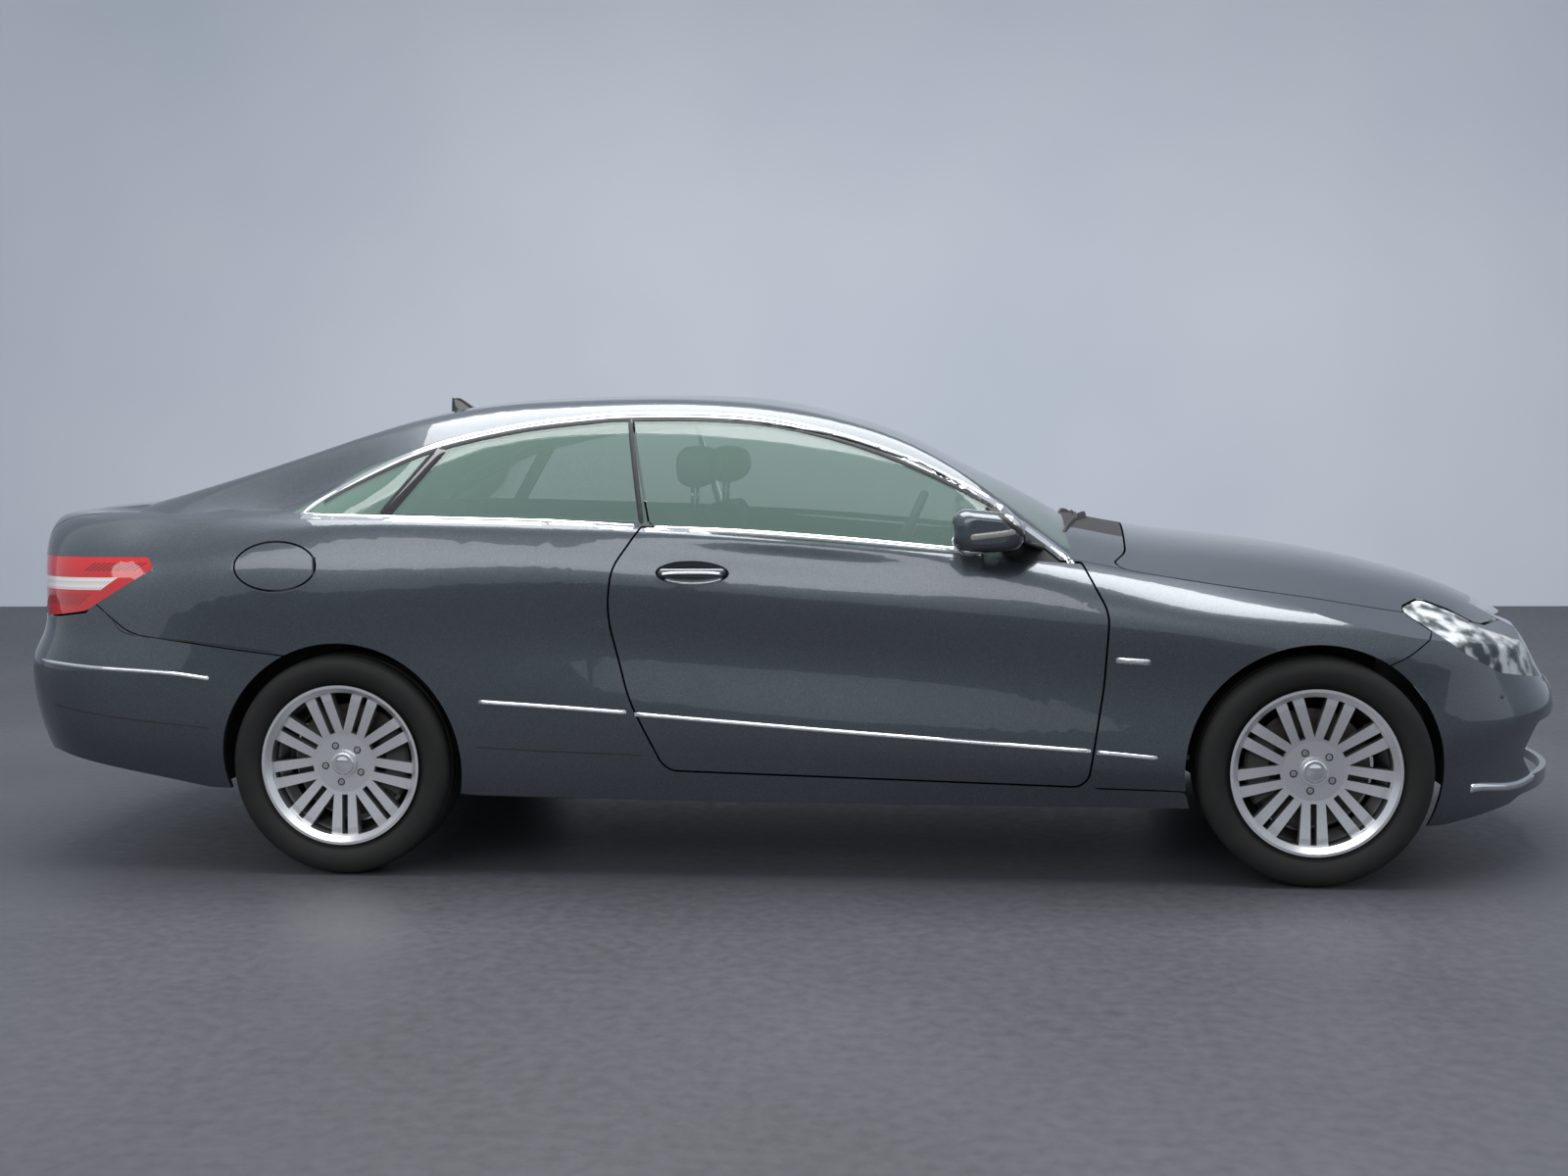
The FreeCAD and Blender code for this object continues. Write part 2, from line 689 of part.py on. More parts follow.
body_side_shares = [
    (-0.116, 0.45, 0), (-0.291, 0.465, 0.215), (-0.575, 0.496, 0.107), (-0.678, 0.563, 0.007),
    (-0.72, 0.6, 0), (-1.083, 0.6, 0), (-1.083, 0.802, 0), (-0.203, 0.802, 0), (-0.203, 0.738, 0),
    (0.058, 0.735, 0), (0.203, 0.727, 0), (0.345, 0.712, 0), (0.345, 0.687, 0), (0.773, 0.616, 0),
    (0.778, 0.401, 0), (0.774, 0.192, 0.029), (0.869, 0.188, 0.021), (0.889, 0.153, 0.043),
    (0.667, 0.153, 0), (0.365, 0.157, 0), (0.142, 0.165, 0), (0.11, 0.172, 0), (0.001, 0.358, 0),
]
frame_shares = [
    (-0.7, 0.716, 0), (-0.7, 0.802, 0), (-0.408, 0.931, 0), (0.092, 1.038, 0),
    (0.563, 1.038, 0), (0.809, 0.759, 0), (0.811, 0.623, 0), (0.766, 0.601, 0),
    (0.708, 0.501, 0), (-0.134, 0.501, 0),
]
windscreen_shares = [
    (0.551, 0, 0), (0.532, -0.647, 0.029), (0.65, -0.708, 2.147), (0.768, -0.77, 0.043),
    (0.802, -0.47, 1.074), (0.814, 0, 0),
]
backlight_shares = [
    (-0.005, 0, 0), (0.014, -0.56, 0.043), (-0.317, -0.61, 2.147), (-0.613, -0.655, 0.05),
    (-0.661, -0.336, 1.432), (-0.672, 0, 0),
]
roof_shares = [
    (0.549, 0, 0), (0.529, -0.605, 0.043), (0.345, -0.614, 2.147), (0.021, -0.594, 0.043),
    (0.001, 0, 0),
]
bonnet_shares = [
    (0.833, 0, 0), (0.821, -0.672, 0.215), (0.801, -0.838, 0.029), (0.864, -0.838, 0.358),
    (0.961, -0.822, 1.074), (1.186, -0.773, 0.644), (1.407, -0.697, 0.358),
    (1.574, -0.61, 0.215), (1.716, -0.482, 0.107), (1.811, -0.336, 0.086), (1.841, 0, 0),
]
cowl_shares = [(0.75, 0, 0), (0.75, -0.838, 0), (0.85, -0.838, 0), (0.85, 0, 0)]
boot_rear_shares = [
    (0, 0.895, 0), (-0.717, 0.895, 0), (-0.717, 0.669, 0.018), (-0.623, 0.662, 0.014),
    (-0.623, 0.545, 0.014), (-0.56, 0.538, 0.021), (0, 0.535, 0),
]
boot_shares = [
    (-0.679, 0, 0), (-0.668, -0.336, 1.432), (-0.62, -0.705, 0.029), (-1.083, -0.784, 0),
    (-1.083, 0, 0),
]
grille_shares = [
    (0, 0.54, 0), (-0.37, 0.533, 0), (-0.361, 0.458, 0.021), (-0.319, 0.401, 0.032), (0, 0.39, 0),
]
intake_shares = [
    (0, 0.308, 0), (-0.627, 0.301, 0.029), (-0.672, 0.236, 0.029), (-0.605, 0.188, 0.029), (0, 0.179, 0),
]

# Outer and inner solids that the panels are cut from
skin = size("skin")
outer_barrel, inner_barrel = barrel(0), barrel(skin)
front_deck, rear_deck = deck(front_deck_shares, 0), deck(rear_deck_shares, 0)
outer_front = outer_barrel.common(front_deck)
inner_front = inner_barrel.common(deck(front_deck_shares, skin))
outer_rear = outer_barrel.common(rear_deck)
inner_rear = inner_barrel.common(deck(rear_deck_shares, skin))
outer_top = greenhouse(0)
under_glass, under_roof = greenhouse(size("glass_thickness")), greenhouse(size("roof_thickness"))


def arch_cut(axle_x):
    """The opening of a right-hand wheel arch."""
    start = V(axle_x, -(half_width + overrun), size("tyre_radius"))
    return Part.makeCylinder(size("arch_radius"), half_width, start, V(0, 1, 0))


front_arch, rear_arch = arch_cut(front_axle_x), arch_cut(rear_axle_x)
door_reach_y = half_width - size("door_thickness")
tail_start_x = station_x(boot_shares[2][0]) + overrun


def boot_prism(grow):
    """The boot lid's outline, from above and from behind."""
    from_behind = rear_prism(boot_rear_shares, -half_length - overrun, tail_start_x, grow)
    return from_behind.common(plan_prism(boot_shares, grow))


def head_lamp_prism(grow):
    return side_prism(head_lamp_shares, grow, half_width * head_lamp_inner_share - grow)


def tail_lamp_prism(grow, inner_share):
    return side_prism(tail_lamp_shares, grow, half_width * inner_share - grow)


def grille_prism(grow):
    return rear_prism(grille_shares, station_x(bonnet_shares[7][0]), half_length + overrun, grow)


# Body sides: quarter panel and sill below, pillars and cant rail above. Beside the cabin the wall is as
# thick as the doors.
wall_shares = [
    (-0.07, 0.1, 0), (0.9, 0.1, 0), (0.9, 0.25, 0), (0.345, 0.25, 0), (0.345, 0.8, 0), (-0.07, 0.8, 0),
]
flap_shares = (-0.162, 0.643)
foot_shares, foot_inner_share = [(-1, 0.6, 0), (-1, 1, 0), (0, 1, 0), (0, 0.6, 0)], 0.76


def wheel_space(axle_x):
    start = V(axle_x, -half_width, size("tyre_radius"))
    radius = size("liner_radius") + size("liner_thickness") + seat_gap
    return Part.makeCylinder(radius, half_width, start, V(0, 1, 0))


def flap_prism(grow, inner_y):
    """A prism over the fuel flap's oval outline."""
    station, height = flap_shares
    oval = Part.Ellipse(V(0, 0, 0), size("fuel_flap_length") / 2 + grow, size("fuel_flap_height") / 2 + grow)
    wire = Part.Wire(oval.toShape())
    middle = V(station_x(station), -half_width - overrun, car_height * height)
    wire.Placement = FreeCAD.Placement(middle, side_view)
    return Part.Face(wire).extrude(V(0, half_width + overrun - inner_y, 0))


lower_tool = (
    side_prism(body_side_shares)
    .cut(side_prism(door_shares, moving_gap, 0))
    .cut(rear_arch)
    .cut(front_arch)
    .cut(boot_prism(moving_gap))
    .cut(plan_prism(backlight_shares, seat_gap))
    .cut(tail_lamp_prism(seat_gap, tail_lamp_split_share))
    .cut(side_prism(rear_bumper_shares, panel_gap))
)
cabin_wall = side_prism(wall_shares, 0, door_reach_y).cut(wheel_space(front_axle_x))
cabin_wall = cabin_wall.cut(wheel_space(rear_axle_x))
quarter_hollow = inner_rear.cut(cabin_wall)
quarter = common(lower_tool, outer_rear).cut(quarter_hollow)
frame_tool = (
    side_prism(frame_shares)
    .cut(side_prism(window_shares, -size("trim_width")))
    .cut(side_prism(door_shares, moving_gap))
    .cut(plan_prism(windscreen_shares, seat_gap))
    .cut(plan_prism(backlight_shares, seat_gap))
    .cut(plan_prism(roof_shares, 0))
    .cut(boot_prism(moving_gap))
)
foot = side_prism(foot_shares, 0, half_width * foot_inner_share)
frame = common(frame_tool, outer_top).cut(under_roof.cut(foot)).cut(quarter_hollow)
side = quarter.fuse(frame)
bowl_y = half_width - size("filler_depth")
bowl = flap_prism(moving_gap + size("filler_wall"), bowl_y - size("filler_neck_length")).common(outer_rear)
neck = Part.makeCylinder(size("filler_neck_radius"), half_width,
                         V(station_x(flap_shares[0]), -half_width, car_height * flap_shares[1]), V(0, 1, 0))


def flap_pin(radius, length):
    """A pin on the fuel flap's hinge line."""
    x = station_x(flap_shares[0]) + size("fuel_flap_length") / 2 - size("flap_pin_inset")
    foot = V(x, size("flap_pin_depth") - half_width, car_height * flap_shares[1] - length / 2)
    return Part.makeCylinder(radius, length, foot)


pin_radius, pin_length = size("flap_pin_radius"), size("flap_pin_length")
pin_socket = flap_pin(pin_radius + seat_gap, pin_length + pin_radius)
add_shape("body_side_right", side.fuse(bowl).cut([flap_prism(moving_gap, bowl_y), neck, pin_socket]))
add_shape("body_side_left", mirror_y(side))
flap = flap_prism(0, 0).common(outer_rear).cut(barrel(size("fuel_flap_thickness")))
add_shape("fuel_flap", flap.fuse(flap_pin(pin_radius, pin_length)))

add_shape("roof_panel", common(plan_prism(roof_shares, -seat_gap), outer_top).cut(under_roof))
fin_shares = [(0.036, 0.93, 0), (0.039, 1.004, 0.006), (0.056, 1.008, 0.006), (0.085, 0.94, 0)]
fin_y = size("fin_width") / 2
add_shape("roof_aerial", side_prism(fin_shares, 0, -fin_y).cut([side_prism(fin_shares, 0, fin_y), outer_top]))
add_shape("windscreen", common(plan_prism(windscreen_shares), outer_top).cut(under_glass))
add_shape("rear_window", common(plan_prism(backlight_shares), outer_top).cut(under_glass))


# Doors with frameless panes, handles and mirrors
handle_shares = (0.376, 0.629, 0.985)
pane_region_shares = [(0.284, 1.1, 0), (0.3565, 0.5, 0), (0.69, 0.5, 0), (0.69, 1.1, 0)]
rear_pane_region_shares = [(-0.3, 1.1, 0), (-0.3, 0.5, 0), (0.3565, 0.5, 0), (0.284, 1.1, 0)]
sail_region_shares = [(0.69, 0.5, 0), (0.9, 0.5, 0), (0.9, 1.1, 0), (0.69, 1.1, 0)]
mirror_shares = (0.677, 0.712, 0.93)
mirror_loft_shares = [(0.02, 0.35), (0.45, 0.9), (0.75, 1), (0.97, 0.72), (1, 0.55)]
opening_edge = -(size("trim_width") + moving_gap)


def handle_cup():
    """The oval hollow behind a door handle, as a flattened ball."""
    matrix = FreeCAD.Matrix()
    matrix.scale(size("handle_length") * 0.56, size("handle_stand"), size("handle_height") * 1.6)
    matrix.move(handle_place())
    return Part.makeSphere(1).transformGeometry(matrix)


def handle_place():
    station, height, width = handle_shares
    return V(station_x(station), -half_width * width, car_height * height)


def handle_bar():
    """A pull handle: a round-ended bar on two posts."""
    radius, half_run = size("handle_height") / 2, (size("handle_length") - size("handle_height")) / 2
    centre = handle_place() - V(0, size("handle_stand") - radius, 0)
    bar = Part.makeCylinder(radius, 2 * half_run, centre - V(half_run, 0, 0), V(1, 0, 0))
    for end in (-1, 1):
        tip = centre + V(end * half_run, 0, 0)
        post = Part.makeCylinder(radius, 2 * size("handle_stand"), tip, V(0, 1, 0))
        bar = bar.fuse([Part.makeSphere(radius, tip), post])
    return bar


def mirror():
    """The housing of a right-hand mirror, on a foot that stands on the sail of the door."""
    station, height, width = mirror_shares
    centre = V(station_x(station), -half_width * width, car_height * height)
    wires = []
    for reach, share in mirror_loft_shares:
        long, high = size("mirror_length") * share / 2, size("mirror_height") * share / 2
        corners = [(-long, -high, high * 0.7), (long, -high * 0.8, high * 0.8),
                   (long * 0.8, high * 0.7, high * 0.8), (-long, high, high * 0.6)]
        wire = rounded(corners)
        wire.Placement = FreeCAD.Placement(centre - V(0, size("mirror_width") * reach, 0), side_view)
        wires.append(wire)
    housing = Part.makeLoft(wires, True, False)
    foot_top = centre + V(size("mirror_length") / 4, -size("mirror_width") * 0.2, -size("mirror_height") * 0.3)
    foot = Part.makeCone(size("mirror_stand"), size("mirror_stand") * 0.8, size("mirror_width"), foot_top,
                         V(0.25, 1, -0.2))
    return housing.fuse(foot.cut(under_glass))


door_cut = side_prism(door_shares, 0, door_reach_y)
door_shell = door_cut.common(outer_barrel).cut(handle_cup()).fuse(handle_bar())
both_sides("door", door_shell)

above_door = side_prism(door_shares, seat_gap)
door_pane = (
    side_prism(window_shares, opening_edge)
    .common(side_prism(pane_region_shares))
    .cut(above_door)
    .common(outer_top)
    .cut(under_glass)
)
both_sides("door_glass", door_pane)
sail = (
    side_prism(window_shares, opening_edge)
    .common(side_prism(sail_region_shares, -seat_gap / 2))
    .cut(above_door)
    .common(outer_top)
    .cut(under_glass)
)
both_sides("mirror", sail.fuse(mirror()))
rear_pane = (
    side_prism(window_shares, -(size("trim_width") + seat_gap))
    .common(side_prism(rear_pane_region_shares, -moving_gap))
    .cut(side_prism(door_shares, moving_gap))
    .common(outer_top)
    .cut(under_glass)
)
both_sides("rear_side_glass", rear_pane)

# Bonnet, cowl, fenders, grille, front bumper and head lamps
bonnet_foot_share, cowl_foot_share = 0.5, 0.56


def bonnet_prism(grow):
    prism_shape = plan_prism(bonnet_shares, grow)
    under = Part.makeBox(2 * half_length, 2 * half_width, car_height * bonnet_foot_share - grow,
                         V(0, -half_width, 0))
    return prism_shape.cut(under)


cowl_zone = plan_prism(cowl_shares).cut(
    Part.makeBox(2 * half_length, 2 * half_width, car_height * cowl_foot_share, V(0, -half_width, 0))
)
bonnet_tool = bonnet_prism(0).cut(grille_prism(seat_gap)).cut(on_both_sides(head_lamp_prism(moving_gap)))
bonnet_shape = bonnet_tool.common(outer_front).cut(deck(front_deck_shares, size("bonnet_thickness")))
add_shape("bonnet", bonnet_shape)

door_spaces = on_both_sides(side_prism(door_shares, moving_gap))
cowl_tool = cowl_zone.cut(bonnet_prism(moving_gap)).cut(door_spaces)
add_shape("cowl", cowl_tool.common(outer_front).cut(inner_front).cut(outer_top))

fender_tool = (
    side_prism(fender_shares, 0, half_width * head_lamp_inner_share)
    .cut(side_prism(door_shares, moving_gap))
    .cut(front_arch)
    .cut(bonnet_prism(moving_gap))
    .cut(plan_prism(cowl_shares, panel_gap))
    .cut(head_lamp_prism(panel_gap))
    .cut(side_prism(front_bumper_shares, panel_gap))
    .cut(side_prism(window_shares, -size("trim_width")))
)
fender_shape = fender_tool.common(outer_front).cut(inner_front).cut(side)
both_sides("fender", max(fender_shape.Solids, key=lambda solid: solid.Volume))

across = -(half_width + overrun)
bumper_tool = (
    side_prism(front_bumper_shares, 0, across)
    .cut(on_both_sides(front_arch))
    .cut(on_both_sides(head_lamp_prism(seat_gap)))
    .cut(bonnet_prism(moving_gap))
    .cut(grille_prism(moving_gap))
    .cut(rear_prism(intake_shares, front_axle_x, half_length + overrun))
)
add_shape("front_bumper", bumper_tool.common(outer_front).cut(inner_front))

grille_frame = grille_prism(0).cut(grille_prism(-size("grille_bar")))
grille_low, grille_high = (car_height * grille_shares[k][1] for k in (-1, 0))
bars = []
for k in range(1, int(size("grille_bars")) + 1):
    level = grille_low + (grille_high - grille_low) * k / (size("grille_bars") + 1) - size("grille_bar") / 2
    start = V(front_axle_x, -half_width / 2, level)
    bars.append(Part.makeBox(half_length, half_width, size("grille_bar"), start))
grille_tool = grille_frame.fuse([bar.common(grille_prism(-size("grille_bar") / 2)) for bar in bars])
add_shape("grille", grille_tool.common(outer_front).cut(barrel(size("grille_depth"))))

behind_lens = barrel(size("lens_thickness")).common(deck(front_deck_shares, size("lens_thickness")))
lens = head_lamp_prism(0).common(outer_front).cut(behind_lens)
lens_left = mirror_y(lens)
add_shape("head_lamp_lenses", Part.makeCompound([lens, lens_left]))
tray_front = size("lens_thickness") + seat_gap
tray = head_lamp_prism(0).common(barrel(tray_front)).common(deck(front_deck_shares, tray_front))
tray = tray.cut(barrel(size("lamp_depth")))
hollow = head_lamp_prism(-size("lens_thickness")).cut(barrel(size("lamp_depth") - size("lens_thickness")))
tray = tray.cut(hollow)
add_shape("head_lamp_bodies", Part.makeCompound([tray, mirror_y(tray)]))

# Boot lid, rear bumper and tail lamps
boot_inner = barrel(size("boot_thickness")).common(deck(rear_deck_shares, size("boot_thickness")))
boot_tool = boot_prism(0).cut(on_both_sides(tail_lamp_prism(seat_gap, tail_lamp_inner_share)))
add_shape("boot_lid", boot_tool.common(outer_rear).cut(boot_inner))
inner_lamp = tail_lamp_prism(0, tail_lamp_inner_share).common(boot_prism(0)).common(outer_rear).cut(inner_rear)
add_shape("boot_lamps", Part.makeCompound(on_both_sides(inner_lamp)))
outer_lamp = tail_lamp_prism(0, tail_lamp_split_share).cut(boot_prism(moving_gap))
outer_lamp = outer_lamp.common(outer_rear).cut(inner_rear)
add_shape("tail_lamps", Part.makeCompound(on_both_sides(outer_lamp)))
rear_bumper_tool = side_prism(rear_bumper_shares, 0, across).cut(on_both_sides(rear_arch))
lamp_spaces = on_both_sides(tail_lamp_prism(seat_gap, tail_lamp_inner_share))
rear_bumper_tool = rear_bumper_tool.cut(lamp_spaces)
add_shape("rear_bumper", rear_bumper_tool.common(outer_barrel).cut(inner_barrel))


# Helpers for sub-parts drawn from sketches and from simple solids
front_axle = "(car_length / 2 - front_overhang)"
rear_axle = "(car_length / 2 - front_overhang - wheelbase)"


def bound(text):
    """An expression whose names are read from the sheet."""
    return re.sub(r"[a-z_]+", lambda m: "sizes." + m.group() if m.group() in sizes else m.group(), text)


def new_body(label):
    """A sub-part drawn from sketches."""
    body = doc.addObject("PartDesign::Body", label)
    body.Label = label
    nodes.append(body)
    return body


def new_sketch(body, name, role, offset=None):
    """A sketch on one of the body's own planes, moved along the plane's normal by an expression."""
    sketch = body.newObject("Sketcher::SketchObject", name)
    plane = next(item for item in body.Origin.OriginFeatures if item.Role == role)
    sketch.AttachmentSupport = [(plane, "")]
    sketch.MapMode = "FlatFace"
    if offset:
        sketch.setExpression(".AttachmentOffset.Base.z", bound(offset))
    return sketch


def fix_point(sketch, body, geometry, place, point):
    """Constraints that hold one point of a sketch at two expressions."""
    for kind, axis, text in (("DistanceX", -2, point[0]), ("DistanceY", -1, point[1])):
        value = float(body.evalExpression(bound(text)))
        if abs(value) < seat_gap / 10:
            sketch.addConstraint(Sketcher.Constraint("PointOnObject", geometry, place, axis))
            continue
        ends = (-1, 1, geometry, place) if value > 0 else (geometry, place, -1, 1)
        index = sketch.addConstraint(Sketcher.Constraint(kind, *ends, abs(value)))
        sketch.setExpression(f"Constraints[{index}]", bound(text if value > 0 else f"-({text})"))


def draw_outline(sketch, body, points):
    """A closed outline of straight lines through points given as pairs of expressions."""
    first = sketch.GeometryCount
    places = [V(*(float(body.evalExpression(bound(text))) for text in point), 0) for point in points]
    count = len(points)
    for k in range(count):
        sketch.addGeometry(Part.LineSegment(places[k], places[(k + 1) % count]), False)
    for k in range(count):
        sketch.addConstraint(Sketcher.Constraint("Coincident", first + k, 2, first + (k + 1) % count, 1))
        fix_point(sketch, body, first + k, 1, points[k])


def draw_circle(sketch, body, centre, radius):
    index = sketch.GeometryCount
    value = float(body.evalExpression(bound(radius)))
    place = V(*(float(body.evalExpression(bound(text))) for text in centre), 0)
    sketch.addGeometry(Part.Circle(place, V(0, 0, 1), value), False)
    fix_point(sketch, body, index, 3, centre)
    constraint = sketch.addConstraint(Sketcher.Constraint("Radius", index, value))
    sketch.setExpression(f"Constraints[{constraint}]", bound(radius))


def turn(body, name, sketch, kind="Revolution"):
    """A full revolution or groove about the sketch's vertical axis."""
    feature = body.newObject(f"PartDesign::{kind}", name)
    feature.Profile = sketch
    feature.ReferenceAxis = (sketch, ["V_Axis"])
    feature.Angle = 360
    return feature


def extend(body, name, sketch, length, kind="Pad"):
    """A pad or a pocket of a length."""
    feature = body.newObject(f"PartDesign::{kind}", name)
    feature.Profile = sketch
    feature.setExpression("Length", bound(length))
    return feature


def repeat_round(body, name, feature, sketch, count):
    """Copies of a feature round the wheel's axis."""
    doc.recompute()
    pattern = body.newObject("PartDesign::PolarPattern", name)
    pattern.Originals = [feature]
    pattern.Axis = (sketch, ["N_Axis"])
    pattern.Angle = 360
    pattern.setExpression("Occurrences", bound(count))
    body.Tip = pattern
    doc.recompute()


def place_at(item, x, y, z, rotation=FreeCAD.Rotation()):
    """Put a sub-part at three expressions."""
    item.Placement = FreeCAD.Placement(V(0, 0, 0), rotation)
    for axis, text in zip("xyz", (x, y, z)):
        item.setExpression(f".Placement.Base.{axis}", bound(text))
    return item


def box(name, x, y, z):
    """A block between pairs of expressions."""
    item = doc.addObject("Part::Box", name)
    for side, (low, high) in zip(("Length", "Width", "Height"), (x, y, z)):
        item.setExpression(side, bound(f"({high}) - ({low})"))
    return place_at(item, x[0], y[0], z[0])


def rod(name, radius, length, start, direction):
    """A cylinder from a start given as expressions."""
    item = doc.addObject("Part::Cylinder", name)
    item.setExpression("Radius", bound(radius))
    item.setExpression("Height", bound(length))
    return place_at(item, *start, FreeCAD.Rotation(V(0, 0, 1), V(*direction)))


def joined(label, items):
    item = doc.addObject("Part::MultiFuse", label)
    item.Label = label
    item.Shapes = items
    return item


def less(label, base, tool):
    item = doc.addObject("Part::Cut", label)
    item.Label = label
    item.Base, item.Tool = base, tool
    return item


# Wheels, tyres and brake discs, each drawn about its own axle with its outer face up
spoke_face = "(rim_width / 2 - dish_depth)"
rim_seat_edge = "(rim_width / 2 - rim_lip_width)"
rim_inner = "(rim_seat_radius - rim_wall)"
rim_points = [
    ("rim_seat_radius", rim_seat_edge),
    ("rim_lip_radius", "rim_width / 2 - rim_lip_width / 4"),
    ("rim_lip_radius", "rim_width / 2"),
    ("rim_lip_radius - rim_wall", "rim_width / 2"),
    (rim_inner, f"{rim_seat_edge} - rim_wall"),
    (rim_inner, "rim_width * 0.16"),
    ("rim_drop_radius - rim_wall", "rim_width * 0.06"),
    ("rim_drop_radius - rim_wall", "-rim_width * 0.16"),
    (rim_inner, "-rim_width * 0.26"),
    (rim_inner, f"rim_wall - {rim_seat_edge}"),
    ("rim_lip_radius - rim_wall", "-rim_width / 2"),
    ("rim_lip_radius", "-rim_width / 2"),
    ("rim_lip_radius", "rim_lip_width / 4 - rim_width / 2"),
    ("rim_seat_radius", f"-{rim_seat_edge}"),
    ("rim_seat_radius", "-rim_width * 0.28"),
    ("rim_drop_radius", "-rim_width * 0.18"),
    ("rim_drop_radius", "rim_width * 0.08"),
    ("rim_seat_radius", "rim_width * 0.18"),
]
tyre_half_points = [
    ("rim_seat_radius + seat_gap", f"({rim_seat_edge} - seat_gap)"),
    ("tyre_wall_radius", "(tyre_width / 2)"),
    ("tyre_shoulder_radius", "tyre_shoulder_half_width"),
    ("tyre_radius", "tyre_tread_half_width"),
]
tyre_points = tyre_half_points + [(r, "-" + a) for r, a in reversed(tyre_half_points)]
disc_points = [
    ("hub_bore_radius", "-disc_thickness"), ("disc_radius", "-disc_thickness"), ("disc_radius", "0"),
    ("disc_hat_radius", "0"), ("disc_hat_radius", f"{spoke_face} - spoke_depth - seat_gap"),
    ("hub_bore_radius", f"{spoke_face} - spoke_depth - seat_gap"),
]


def draw_rim(label):
    body = new_body(label)
    profile = new_sketch(body, label + "_profile", "XZ_Plane")
    draw_outline(profile, body, rim_points)
    turn(body, label + "_barrel", profile)
    hub = new_sketch(body, label + "_hub_outline", "XY_Plane", f"{spoke_face} - spoke_depth")
    draw_circle(hub, body, ("0", "0"), "hub_radius")
    extend(body, label + "_hub", hub, "spoke_depth")
    spoke = new_sketch(body, label + "_spoke_outline", "XY_Plane", f"{spoke_face} - spoke_depth")
    inner, outer = "-hub_radius * 0.7", f"rim_wall / 2 - rim_seat_radius"
    draw_outline(spoke, body, [("-pair_hub_width / 2", inner), ("-pair_rim_width / 2", outer),
                               ("pair_rim_width / 2", outer), ("pair_hub_width / 2", inner)])
    slot_start, slot_end = "-(hub_radius + rim_wall)", f"seat_gap * 10 - {rim_inner}"
    draw_outline(spoke, body, [("-spoke_slot / 2", slot_start), ("-spoke_slot / 2", slot_end),
                               ("spoke_slot / 2", slot_end), ("spoke_slot / 2", slot_start)])
    pair = extend(body, label + "_spoke_pair", spoke, "spoke_depth")
    repeat_round(body, label + "_spokes", pair, spoke, "spoke_pairs")
    dish = new_sketch(body, label + "_dish_profile", "XZ_Plane")
    draw_outline(dish, body, [("0", f"{spoke_face} + dish_fall"), ("rim_drop_radius", f"{spoke_face} + dish_fall"),
                              ("rim_drop_radius", spoke_face), ("hub_radius", f"{spoke_face} - dish_fall"),
                              ("0", f"{spoke_face} - dish_fall")])
    turn(body, label + "_dish", dish, "Groove")
    bolt = new_sketch(body, label + "_bolt_outline", "XY_Plane", spoke_face)
    draw_circle(bolt, body, ("bolt_circle_radius * cos(44)", "bolt_circle_radius * sin(44)"), "bolt_hole_radius")
    hole = extend(body, label + "_bolt_hole", bolt, "spoke_depth * 2", "Pocket")
    repeat_round(body, label + "_bolt_holes", hole, bolt, "bolt_count")
    cap = new_sketch(body, label + "_cap_outline", "XY_Plane", f"{spoke_face} - spoke_depth / 2")
    draw_circle(cap, body, ("0", "0"), "hub_cap_radius")
    extend(body, label + "_cap", cap, "spoke_depth / 2 - dish_fall + hub_cap_height")
    return body


def draw_turned(label, points):
    body = new_body(label)
    profile = new_sketch(body, label + "_profile", "XZ_Plane")
    draw_outline(profile, body, points)
    turn(body, label + "_turned", profile)
    return body


outwards = FreeCAD.Rotation(V(1, 0, 0), 90)
for end, axle, track in (("front", front_axle, "track_front"), ("rear", rear_axle, "track_rear")):
    for name, piece in (("wheel", draw_rim(f"wheel_{end}_right")),
                        ("tyre", draw_turned(f"tyre_{end}_right", tyre_points)),
                        ("brake_disc", draw_turned(f"brake_disc_{end}_right", disc_points))):
        place_at(piece, axle, f"-{track} / 2", "tyre_radius", outwards)
        doc.recompute()
        add_mirrored(f"{name}_{end}_left", piece)

# Front knuckles on their kingpins, with the spindles that the wheels turn on
front_wheel_y, rear_wheel_y = "track_front / 2", "track_rear / 2"
kingpin_y = "(track_front / 2 - kingpin_offset)"
upright = box("upright", (f"{front_axle} - hub_carrier_radius", f"{front_axle} + hub_carrier_radius"),
              (f"-{kingpin_y} - carrier_thickness / 2", f"-{kingpin_y} + carrier_thickness / 2"),
              ("arm_base + arm_height + moving_gap", "tyre_radius + carrier_rise"))
spindle = rod("spindle", "hub_bore_radius - running_gap", "kingpin_offset + disc_thickness",
              (front_axle, f"-{kingpin_y}", "tyre_radius"), (0, -1, 0))
kingpin_bore = rod("kingpin_bore", "kingpin_radius + running_gap", "kingpin_length",
                   (front_axle, f"-{kingpin_y}", "arm_base + arm_height"), (0, 0, 1))
knuckle_right = less("knuckle_right", joined("knuckle_solids", [upright, spindle]), kingpin_bore)
nodes.append(knuckle_right)
add_mirrored("knuckle_left", knuckle_right)

